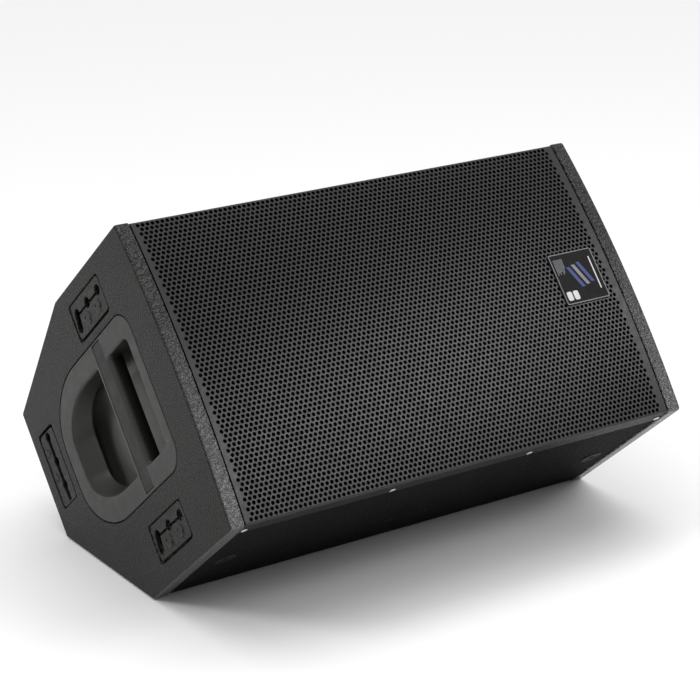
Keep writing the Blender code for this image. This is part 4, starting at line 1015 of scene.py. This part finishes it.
def build_badge():
    """A small dark plate with a raised rim and a pattern of leaning bars, lines and blocks."""
    (x, z), (wide, high) = (0.2288, 0.0038), (0.0605, 0.0620)
    back = front_y(0) + GRILLE_INSET - GAP - 0.0002
    outer = soft_rectangle((x, z), (wide, high), 0.0022)
    inner = offset(outer, -0.0013)
    plate = offset(outer, -0.0001)
    slab("badge_plate", "y", [plate], back - 0.0012, back, "badge", edge=0.0, replaces=["badge_plate"])
    low, high = back - 0.0018, back - 0.0008
    slab("badge_rim", "y", [outer, inner], low, high, "badge_rim", edge=0.0, back_edge=0.0003)
    face = back - 0.0012
    marks = []
    for index, u in enumerate((-0.0010, 0.0065, 0.0140)):
        left, right, foot = x + u, x + u + 0.0048, z - 0.013 + 0.002 * index
        head, lean = foot + 0.026, 0.011
        corners = [(left, foot), (right, foot), (right - lean, head), (left - lean, head)]
        marks.append((f"badge_bar_{index + 1}", corners, ("badge_blue", "badge_grey", "badge_blue")[index]))
    for index in range(7):
        long = (0.0190, 0.0165, 0.0185, 0.0150, 0.0190, 0.0170, 0.0120)[index]
        spot = (x - 0.0255 + 0.0019 * index, z + 0.0245 - long / 2)
        marks.append((f"badge_line_{index + 1}", rectangle(spot, (0.0008, long)), "badge_grey"))
    for index, spot in enumerate(((x - 0.0225, z - 0.0210), (x - 0.0135, z - 0.0210))):
        marks.append((f"badge_block_{index + 1}", soft_rectangle(spot, (0.0072, 0.0110), 0.0022), "print_white"))
    marks.append(("badge_stripe", rectangle((x + 0.0235, z + 0.001), (0.0016, 0.040)), "print_white"))
    for name, loop, finish in marks:
        slab(name, "y", [loop], face - 0.0002, face + 0.0002, finish, edge=0.00005, steps=1)


def build_grille_screws():
    """Button-head screws with a hex recess along both long edges."""
    low, high = HALF - PROUD + GAP, HALF - 0.0001
    for side, sign in (("lower", -1), ("upper", 1)):
        for index in range(4):
            name = f"grille_screw_{side}_{index + 1}"
            x = (index - 1.5) * 0.1815
            shape = Shape("z")
            centre = (x, 0.0183)
            profile = [(0.0037, low), (0.0037, low + 0.0004), (0.0033, low + 0.0008)]
            profile += [(0.0025, high - 0.0001), (0.0019, high)]
            rings = shape.stack(centre, profile, 36, sign)
            shape.join(rings)
            hexagon = circle(centre, 0.0014, 6)
            hole = shape.pocket(hexagon, sign * high, -sign, [(hexagon, 0.0010)], 0.0)
            shape.cap([rings[-1], hole])
            shape.cap([rings[0]])
            show(name, shape, "bright_metal" if sign < 0 else "plate_steel", replaces=[name])


# ---------------------------------------------------------------- cabinet boards and floor side


def inset_corners(insets):
    """The section's corners with each side moved inwards, from the lower side round to the upper one."""
    sides = []
    for index, inset in enumerate(insets):
        start, end = Vector(CORNERS[index]), Vector(CORNERS[index + 1])
        along = (end - start).normalized()
        sides.append((start + Vector((-along.y, along.x)) * inset, along))
    moved = []
    for (place, along), (other, beside) in zip(sides, sides[1:]):
        across = along.x * beside.y - along.y * beside.x
        gap = other - place
        moved.append(place + along * (gap.x * beside.y - gap.y * beside.x) / across)
    return moved


def corner_arc(outer, index, radius, steps=8):
    """The rounded corner between two boards, as points, split at its middle."""
    here = outer[index]
    before = Vector(CORNERS[index + 1]) - Vector(CORNERS[index])
    after = Vector(CORNERS[index + 2]) - Vector(CORNERS[index + 1])
    back, forth = -before.normalized(), after.normalized()
    half = back.angle(forth) / 2
    centre = here + (back + forth).normalized() * radius / math.sin(half)
    start = (here + back * radius / math.tan(half) - centre).normalized()
    end = (here + forth * radius / math.tan(half) - centre).normalized()
    points = [centre + start.slerp(end, step / steps) * radius for step in range(steps + 1)]
    return points[: steps // 2 + 1], points[steps // 2 :]


def build_boards():
    """The boards round the sides and rear; the coating rounds the long edges where they meet. Their side coating
    is painted darker than the end panels' coating, as painted shade.
    """
    insets = [PROUD, PROUD, REAR_INSET, PROUD, PROUD]
    outer = inset_corners(insets)
    inner = inset_corners([inset + BOARD for inset in insets])
    radius = 0.006
    arcs = [corner_arc(outer, index, radius) for index in range(4)]
    low, high = -INNER_X + GAP, INNER_X - GAP
    for index, name in enumerate(("floor_board", "rear_board", "back_slope_board")):
        loop = [*arcs[index][1], *arcs[index + 1][0], inner[index + 1], inner[index]]
        shape = board_shape([tuple(p) for p in loop], low, high)
        mesh = shape.mesh(name)
        if name == "rear_board":
            cutter = Shape("y")
            opening = rectangle((0, REAR_Z), (0.444, 0.108))
            rings = [cutter.place(opening, DEPTH - 0.03), cutter.place(opening, DEPTH + 0.01)]
            cutter.join(rings)
            cutter.cap([rings[0]])
            cutter.cap([rings[1]])
            mesh = carve(mesh, [cutter.mesh("opening")])
        show(name, mesh, "side_coating", replaces=[name], smooth=25)
    sides = (("lower_side_board", -1, arcs[0][0], inner[0]), ("upper_side_board", 1, arcs[3][1][::-1], inner[3]))
    for name, sign, arc, inside in sides:
        face = HALF - PROUD
        rebate, front, step = face - SHEET - 0.0004, 0.010, GRILLE_FLANGE + 0.0008
        loop = [
            (front, sign * rebate),
            (step, sign * rebate),
            (step, sign * (face - 0.0006)),
            (step + 0.0006, sign * face),
            *[tuple(p) for p in arc],
            tuple(inside),
            (front, sign * (face - BOARD)),
        ]
        show(name, board_shape(loop, low, high), "side_coating", replaces=[name], smooth=25)


def board_shape(loop, low, high):
    shape = Shape("x")
    rings = [shape.place(loop, low), shape.place(loop, high)]
    shape.join(rings)
    shape.cap([rings[0]])
    shape.cap([rings[1]])
    return shape


RIGGING_POINT = ((0.0125, -0.0006), (0.0125, 0.0003), (0.0120, 0.0008), (0.0092, 0.0009), (0.0086, 0.0004))
THREADED_POINT = ((1.0, -0.0006), (1.0, 0.0002), (0.93, 0.0005), (0.66, 0.0005), (0.6, -0.0003))
SIDE_POINTS = ((-0.0225, 0.155, 0.0048), (0.0225, 0.155, 0.0048), (0.005, 0.156, 0.0022))


def build_side_fixings():
    """Threaded points in both sides: a large blanked one near each end and a small group in the middle."""
    face = HALF - PROUD
    for side, sign in (("lower", -1), ("upper", 1)):
        shift = 0.0 if sign < 0 else -0.014
        for index, x in enumerate((-0.247, 0.247)):
            centre = (x, 0.125 + shift)
            shape = Shape("z")
            rings = shape.stack(centre, RIGGING_POINT, 56, sign, face)
            hexagon = circle(centre, 0.0036, 6)
            hole = shape.pocket(hexagon, sign * (face + 0.0004), -sign, [(hexagon, 0.0009)], 0.0002)
            shape.join(rings)
            shape.cap([rings[-1], hole])
            shape.cap([rings[0]])
            show(f"rigging_point_{side}_{index + 1}", shape, "point_coating")
        for index, (x, y, radius) in enumerate(SIDE_POINTS):
            centre = (x, y + shift)
            shape = Shape("z")
            profile = [(radius * share, along) for share, along in THREADED_POINT]
            rings = shape.stack(centre, profile, 32, sign, face)
            shape.join(rings)
            shape.cap([rings[-1]])
            shape.cap([rings[0]])
            show(f"threaded_point_{side}_{index + 1}", shape, "point_coating")


def build_floor_strips():
    """Ribbed rubber strips under the floor side."""
    start, end = Vector(CORNERS[1]), Vector(CORNERS[2])
    along = (end - start).normalized()
    outwards = Vector((along.y, -along.x))
    for name, distance in (("floor_strip_front", 0.028), ("floor_strip_rear", 0.176)):
        middle = start + along * distance
        profile = [(-0.009, GAP - PROUD), (-0.009, 0.0004), (-0.0084, STRIP_PROUD)]
        for rib in range(5):
            centre = -0.0068 + 0.0034 * rib
            if rib:
                profile += [(centre - 0.0012, 0.0002), (centre - 0.0008, STRIP_PROUD)]
            if rib < 4:
                profile += [(centre + 0.0008, STRIP_PROUD), (centre + 0.0012, 0.0002)]
        profile += [(0.0084, STRIP_PROUD), (0.009, 0.0004), (0.009, GAP - PROUD)]
        loop = [tuple(middle + along * u + outwards * v) for u, v in profile]
        show(name, board_shape(loop, -0.240, 0.240), "rubber", replaces=[name], smooth=30)


def build_foot_end():
    """Rubber feet with a washer and screw, and the flanged pole socket."""
    for index, centre in enumerate(((0.040, 0.140), (0.040, -0.140), (0.335, 0.100), (0.335, -0.045))):
        low, high = END_X + GAP, END_X + GAP + FOOT_HEIGHT
        profile = [(0, low), (0.0150, low), (0.0150, low + 0.0012), (0.0128, high - 0.0012)]
        profile += [(0.0122, high - 0.0003), (0.0114, high), (0.0066, high), (0.0060, high - 0.0004)]
        profile += [(0.0058, high - 0.0034), (0, high - 0.0034)]
        name = f"end_foot_{index + 1}"
        turned(name, "x", centre, profile, "rubber", replaces=[name], steps=56)
        top = high - 0.0034
        shape = Shape("x")
        profile = [(0.0052, top - 0.0002), (0.0052, top + 0.0004), (0.0034, top + 0.0006)]
        rings = shape.stack(centre, profile + [(0.0032, top + 0.0016), (0.0024, top + 0.0022)], 32)
        shape.join(rings)
        cross = cross_outline(centre, 0.0018, 0.0005)
        hole = shape.pocket(cross, top + 0.0022, -1, [(cross, 0.0010)], 0.0)
        shape.cap([rings[-1], hole])
        shape.cap([rings[0]])
        show(f"{name}_screw", shape, "bright_metal")
    centre, radius = (0.172, 0.0), 0.018
    face, back = END_X + GAP, END_X - 0.078
    outside, front = radius + 0.003, face + 0.002
    shape = Shape("x")
    profile = [(outside, back - 0.003), (outside, face), (0.041, face), (0.041, front - 0.0006), (0.0404, front)]
    rings = [shape.place(circle(centre, r, 72), along) for r, along in profile]
    shape.join(rings)
    shape.cap([rings[0]])
    bore = [(radius + 0.0022, front), (radius + 0.0006, front - 0.0009), (radius, front - 0.003), (radius, back)]
    inner = [shape.place(circle(centre, r, 72), along) for r, along in bore]
    shape.join(inner)
    shape.cap([inner[-1]])
    holes = []
    for turn in range(4):
        angle = math.radians(45 + 90 * turn)
        place = (centre[0] + 0.032 * math.cos(angle), centre[1] + 0.032 * math.sin(angle))
        loop = circle(place, 0.0042, 24)
        holes.append(shape.pocket(loop, front, -1, [(circle(place, 0.0036, 24), 0.0012)], 0.0002))
        build_cross_screw(f"pole_socket_screw_{turn + 1}", "x", place, front - 0.0012, 1, 0.0034, 0.0010)
    shape.cap([rings[-1], inner[0], *holes])
    show("pole_socket", shape, "black_plastic", replaces=["pole_socket"])


def cross_outline(centre, reach, half):
    """A driver's cross."""
    quarter = [(reach, -half), (reach, half), (half, half)]
    loop = []
    for turn in range(4):
        c, s = math.cos(turn * math.pi / 2), math.sin(turn * math.pi / 2)
        loop += [(centre[0] + u * c - v * s, centre[1] + u * s + v * c) for u, v in quarter]
    return loop


def build_cross_screw(name, axis, centre, base, sign, radius, height, finish="plate_steel"):
    """A pan-head screw with a cross recess."""
    shape = Shape(axis)
    rings = []
    for share, rise in ((1.0, 0.0), (1.0, 0.45), (0.93, 0.72), (0.78, 0.92), (0.62, 1.0)):
        rings.append(shape.place(circle(centre, radius * share, 28), base + sign * height * rise))
    shape.join(rings)
    cross = cross_outline(centre, radius * 0.52, radius * 0.13)
    hole = shape.pocket(cross, base + sign * height, -sign, [(cross, height * 0.7)], 0.0)
    shape.cap([rings[-1], hole])
    shape.cap([rings[0]])
    show(name, shape, finish)


# ---------------------------------------------------------------- rear tray and its controls

CONNECTORS = {
    "xlr_input": (0.045, 0.024),
    "xlr_output": (0.082, 0.024),
    "power_inlet": (0.045, -0.024),
    "power_outlet": (0.082, -0.024),
}
KNOBS = {"volume_knob": (0.122, 0.024), "tone_knob": (0.160, 0.024)}
BUTTONS = {"low_cut_button": (0.190, 0.036), "ground_lift_button": (0.190, 0.014)}
SWITCH_PLACE = (0.140, -0.024)


def on_tray(place):
    return place[0], REAR_Z + place[1]


def build_tray():
    """A drawn pan with a flange, soft corners and its screws."""
    size, flange, depth, sheet = (0.438, 0.102), (0.464, 0.128), 0.026, 0.002
    centre = (0, REAR_Z)
    shape = Shape("y")
    outer = soft_rectangle(centre, flange, 0.006, 8)
    steps = 6
    rings = [shape.place(outer, FLANGE_Y - sheet), shape.place(outer, FLANGE_Y - 0.0005)]
    rings.append(shape.place(offset(outer, -0.0005), FLANGE_Y))
    mouth = soft_rectangle(centre, size, 0.012, 8)
    bend = 0.003
    for depth_now, inset in rounding(bend, steps):
        rings.append(shape.place(offset(mouth, inset), FLANGE_Y - depth_now))
    floor = FLANGE_Y - depth + sheet
    for depth_now, inset in reversed(rounding(bend, steps)):
        rings.append(shape.place(offset(mouth, -inset), floor + depth_now))
    shape.join(rings)
    shape.cap([rings[-1]])
    wide = offset(mouth, sheet * 0.9)
    outside = [shape.place(wide, FLANGE_Y - sheet), shape.place(wide, floor - sheet + 0.002)]
    outside.append(shape.place(offset(mouth, -0.001), floor - sheet))
    shape.join(outside)
    shape.cap([outside[-1]])
    shape.cap([rings[0], outside[0]])
    show("rear_tray", shape, "tray_metal", replaces=["rear_tray"])
    places = [(x, z) for x in (-0.2255, 0.2255) for z in (-0.0575, 0.0, 0.0575)]
    places += [(x, z) for x in (-0.0752, 0.0752) for z in (-0.0575, 0.0575)]
    for index, place in enumerate(places):
        build_cross_screw(f"tray_screw_{index + 1}", "y", on_tray(place), FLANGE_Y, 1, 0.0034, 0.0018)


def build_heat_sink():
    """A finned extrusion; each fin tapers to a rounded tip."""
    half, height, base, fins, thick = 0.044, 0.019, 0.004, 12, 0.0022
    low, high = REAR_Z - half, REAR_Z + half
    root, top = TRAY_FACE + base, TRAY_FACE + height
    pitch = (2 * half - thick) / (fins - 1)
    loop = [(TRAY_FACE, high), (TRAY_FACE, low)]
    for index in range(fins):
        start = low + index * pitch
        middle, tip = start + thick / 2, thick * 0.32
        side = [(root, start - (0.0006 if index else 0.0)), (root + 0.0008, start), (top - 0.0006, middle - tip)]
        other = [(y, 2 * middle - z) for y, z in side[::-1]]
        if index == fins - 1:
            other[-1] = (root, start + thick)
        loop += side + [(top - 0.0001, middle - tip * 0.5), (top - 0.0001, middle + tip * 0.5)] + other
    show("heat_sink", board_shape(loop, -0.205, 0.010), "heat_sink_metal", replaces=["heat_sink"], smooth=28)
    for index, x in enumerate((-0.198, 0.003)):
        build_cross_screw(f"heat_sink_screw_{index + 1}", "y", (x, REAR_Z), root, 1, 0.0026, 0.0016)


def build_sockets():
    """The signal and power sockets on the tray's floor."""
    front = TRAY_FACE + 0.0032
    for name, place in CONNECTORS.items():
        centre = on_tray(place)
        outline = soft_rectangle(centre, (0.026, 0.031), 0.004, 7)
        shape = Shape("y")
        signal = name.startswith("xlr")
        radius = 0.0095 if signal else 0.0098
        cup = circle(centre, radius, 56)
        holes = []
        pins = [math.radians(angle) for angle in (20, 160, 270)]
        pin_places = [(centre[0] + 0.0051 * math.cos(t), centre[1] + 0.0051 * math.sin(t)) for t in pins]
        depth = 0.0014 if name == "xlr_input" else 0.0105
        if name == "xlr_input":
            for pin in pin_places:
                loop = circle(pin, 0.0014, 18)
                holes.append(shape.pocket(loop, front - depth, -1, [(loop, 0.0090)], 0.0003))
        elif not signal:
            post = [(0.0038, 0.0), (0.0038, 0.0066), (0.0034, 0.0073)]
            rings = [shape.place(circle(centre, r, 32), front - depth + rise) for r, rise in post]
            shape.join(rings)
            shape.cap([rings[-1]])
            holes.append(rings[0])
        mouths = [shape.pocket(cup, front, -1, [(cup, depth)], 0.0006, holes)]
        finish = {"power_inlet": "inlet_plastic", "power_outlet": "outlet_plastic"}.get(name, "socket_plastic")
        if name == "xlr_input":
            slot = rectangle((centre[0], centre[1] + 0.01275), (0.0094, 0.0036))
            mouths.append(shape.pocket(slot, front, -1, [(slot, 0.0028)], 0.0002))
        ends = shape.edge(outline, TRAY_FACE, front, 0.0, 0.0008, -1, 4)
        shape.cap([ends[1], *mouths])
        shape.cap([ends[0]])
        show(name, shape, finish, replaces=[name])
        low, high = TRAY_FACE - 0.016, TRAY_FACE - 0.0001
        turned(f"{name}_barrel", "y", centre, [(0, low), (0.0115, low), (0.0115, high), (0, high)], finish)
        for index, (u, v) in enumerate(((-0.0098, 0.0122), (0.0098, -0.0122))):
            spot = (centre[0] + u, centre[1] + v)
            build_cross_screw(f"{name}_screw_{index + 1}", "y", spot, front, 1, 0.0022, 0.0010)
        if signal:
            low, high = front - 0.0001, front + 0.0002
            ring = [(0.0095, low), (0.0106, low), (0.0106, high)]
            ring += [(0.0103, front + 0.0005), (0.0098, front + 0.0005), (0.0095, high)]
            turned(f"{name}_ring", "y", centre, ring, "bright_metal", steps=56)
        if name == "xlr_output":
            for index, pin in enumerate(pin_places):
                floor = front - depth
                profile = [(0, floor - 0.0005), (0.0012, floor - 0.0005), (0.0012, TRAY_FACE - 0.0004)]
                profile += [(0.0009, TRAY_FACE + 0.0002), (0.0004, TRAY_FACE + 0.0005), (0, TRAY_FACE + 0.0005)]
                turned(f"xlr_output_pin_{index + 1}", "y", pin, profile, "bright_metal", steps=24)
        if name == "xlr_input":
            for index, pin in enumerate(pin_places):
                top = front - depth - 0.0012
                profile = [(0.00135, top - 0.0070), (0.00135, top), (0.0010, top), (0.0010, top - 0.0070)]
                turned(f"xlr_input_contact_{index + 1}", "y", pin, profile, "contact_gold", steps=24)
        if not signal:
            for index, turn in enumerate((90, 210, 330)):
                t = math.radians(turn)
                lug = soft_rectangle((0, 0), (0.0030, 0.0016), 0.0004, 3)
                loop = [
                    (centre[0] + (radius - 0.0007) * math.cos(t) + u * math.sin(t) + v * math.cos(t),
                     centre[1] + (radius - 0.0007) * math.sin(t) - u * math.cos(t) + v * math.sin(t))
                    for u, v in lug
                ]
                slab(f"{name}_lug_{index + 1}", "y", [loop], front - depth, front - 0.0020, finish, edge=0.0003)
    centre = on_tray(CONNECTORS["xlr_input"])
    tab = soft_rectangle((centre[0], centre[1] + 0.01275), (0.0086, 0.0028), 0.0006, 4)
    options = {"edge": 0.0005, "body": "xlr_latch", "replaces": ["xlr_latch"]}
    slab("xlr_latch", "y", [tab], TRAY_FACE + 0.0022, TRAY_FACE + 0.0052, "bright_metal", **options)


def build_knobs():
    """Fluted knobs with a pointer, and a dial of marks round each on the tray."""
    for name, place in KNOBS.items():
        centre = on_tray(place)
        shape = Shape("y")
        rings = []
        flutes, around = 16, 96

        def fluted(radius, cut):
            loop = []
            for step in range(around):
                turn = 2 * math.pi * step / around
                r = radius - cut * max(0.0, math.cos(flutes * turn)) ** 1.5
                loop.append((centre[0] + r * math.cos(turn), centre[1] + r * math.sin(turn)))
            return loop

        height = 0.0135
        profile = [(0.0082, 0.0006, 0.0), (0.0082, 0.0026, 0.0), (0.0080, 0.0030, 0.0006)]
        profile += [(0.0075, height - 0.0016, 0.0006), (0.0069, height - 0.0006, 0.0)]
        profile += [(0.0064, height - 0.0001, 0.0), (0.0060, height, 0.0), (0.0056, height - 0.0004, 0.0)]
        for radius, rise, cut in profile:
            rings.append(shape.place(fluted(radius, cut), TRAY_FACE + rise))
        shape.join(rings)
        shape.cap([rings[-1]])
        spindle = [shape.place(circle(centre, 0.0030, 24), TRAY_FACE + rise) for rise in (0.0006, -0.010)]
        shape.join(spindle)
        shape.cap([spindle[-1]])
        shape.cap([rings[0], spindle[0]])
        show(name, shape, "black_plastic", body=name, replaces=[name], smooth=40)
        pointer = soft_rectangle((centre[0], centre[1] + 0.00405), (0.0014, 0.0051), 0.0005, 4)
        low, high = TRAY_FACE + height - 0.0008, TRAY_FACE + height + 0.0006
        slab(f"{name}_pointer", "y", [pointer], low, high, "print_white", edge=0.0003, body=name)
        for mark in range(11):
            turn = math.radians(240 - 30 * mark)
            reach = 0.0128 if mark % 5 == 0 else 0.0120
            build_stroke(f"{name}_mark_{mark + 1}", centre, turn, 0.0102, reach, 0.00030)


def build_stroke(name, centre, turn, start, end, half):
    """A short printed line on the tray's floor, pointing away from a centre."""
    c, s = math.cos(turn), math.sin(turn)
    corners = ((start, -half), (end, -half), (end, half), (start, half))
    loop = [(centre[0] + u * c - v * s, centre[1] + u * s + v * c) for u, v in corners]
    floor = FLANGE_Y - 0.024
    slab(name, "y", [loop], floor - 0.0001, floor + 0.00008, "print_white", edge=0.00003, steps=1)


def build_controls():
    """Push buttons, mains switch and its rocker."""
    for name, place in BUTTONS.items():
        centre = on_tray(place)
        loop = soft_rectangle(centre, (0.0068, 0.0068), 0.0009, 4)
        options = {"edge": 0.0007, "steps": 4, "body": name, "replaces": [name]}
        slab(name, "y", [loop], TRAY_FACE - 0.006, TRAY_FACE + 0.0034, "button_plastic", **options)
        collar = soft_rectangle(centre, (0.0104, 0.0104), 0.0016, 4)
        hole = soft_rectangle(centre, (0.0077, 0.0077), 0.0010, 4)
        low, high = FLOOR_Y + 0.0020, TRAY_FACE + 0.0009
        slab(f"{name}_collar", "y", [collar, hole], low, high, "black_plastic", edge=0.0003)
    centre = on_tray(SWITCH_PLACE)
    face = TRAY_FACE
    shape = Shape("y")
    outline = soft_rectangle(centre, (0.030, 0.021), 0.0015, 5)
    well = soft_rectangle(centre, (0.0245, 0.0155), 0.0005, 3)
    mouth = shape.pocket(well, face + 0.002, -1, [(well, 0.0105)], 0.0004)
    ends = shape.edge(outline, face, face + 0.002, 0.0, 0.0008, -1, 4)
    shape.cap([ends[1], mouth])
    body = soft_rectangle(centre, (0.0265, 0.0175), 0.0005, 3)
    under = [shape.place(body, face), shape.place(body, face - 0.014)]
    shape.join(under)
    shape.cap([ends[0], under[0]])
    shape.cap([under[1]])
    show("switch_bezel", shape, "black_plastic", replaces=["switch_bezel"])
    build_rocker(centre)


def build_rocker(centre):
    """The rocker, tipped to its off side, with a bar and a ring on its two ends."""
    half, tilt = 0.01105, math.radians(8)
    side = []
    steps = 16
    for step in range(steps + 1):
        u = -half + 2 * half * step / steps
        side.append((u, 0.0014 + 0.0016 * (u / half) ** 2))
    side += [(half - 0.0008, -0.0015), (0.0055, -0.0055), (-0.0055, -0.0055), (-half + 0.0008, -0.0015)]
    depth = 0.00715
    shape = Shape("z")
    c, s = math.cos(-tilt), math.sin(-tilt)
    turned_side = [(centre[0] + u * c - v * s, TRAY_FACE + 0.0006 + u * s + v * c) for u, v in side]
    ends = shape.edge(turned_side, centre[1] - depth, centre[1] + depth, 0.0004, 0.0004, -1, 3)
    shape.cap([ends[0]])
    shape.cap([ends[1]])
    show("power_rocker", shape, "rocker_plastic", body="power_rocker", replaces=["power_rocker"], smooth=30)

    def raised(u, v):
        y = 0.0014 + 0.0016 * (u / half) ** 2
        return centre[0] + u * c - y * s, TRAY_FACE + 0.0006 + u * s + y * c, centre[1] + v

    line = [(-0.0068, -0.0024), (-0.0062, -0.0024), (-0.0062, 0.0024), (-0.0068, 0.0024)]
    build_flat_mark("power_rocker_line", line, [], raised)
    ring = circle((0.0065, 0.0), 0.0022, 28)
    build_flat_mark("power_rocker_ring", ring, circle((0.0065, 0.0), 0.0017, 28), raised)


def build_flat_mark(name, outer, inner, raised):
    """A thin printed mark that follows a curved face."""
    shape = Shape("x")
    for lift in (0.00003, -0.00005):
        for u, v in [*outer, *inner]:
            x, y, z = raised(u, v)
            shape.points.append((x, y + lift, z))
    count, total = len(outer), len(outer) + len(inner)
    for base in (0, total):
        if inner:
            for i in range(count):
                j = (i + 1) % count
                shape.faces.append((base + i, base + j, base + count + j, base + count + i))
        else:
            shape.faces.append(tuple(base + i for i in range(count)))
    for start, size in ((0, count), (count, len(inner))):
        for i in range(size):
            j = (i + 1) % size
            shape.faces.append((start + i, start + j, total + start + j, total + start + i))
    show(name, shape, "print_white", body="power_rocker", weighted=False)


# ---------------------------------------------------------------- all of it

make_camera()
make_studio()
make_finishes()
finish_cad_nodes()
build_end_panel("handle_end_panel", -1)
build_end_panel("foot_end_panel", 1)
build_plates("top", -1)
build_plates("foot", 1)
build_handle()
build_grille()
build_badge()
build_grille_screws()
build_boards()
build_side_fixings()
build_floor_strips()
build_foot_end()
build_tray()
build_heat_sink()
build_sockets()
build_knobs()
build_controls()
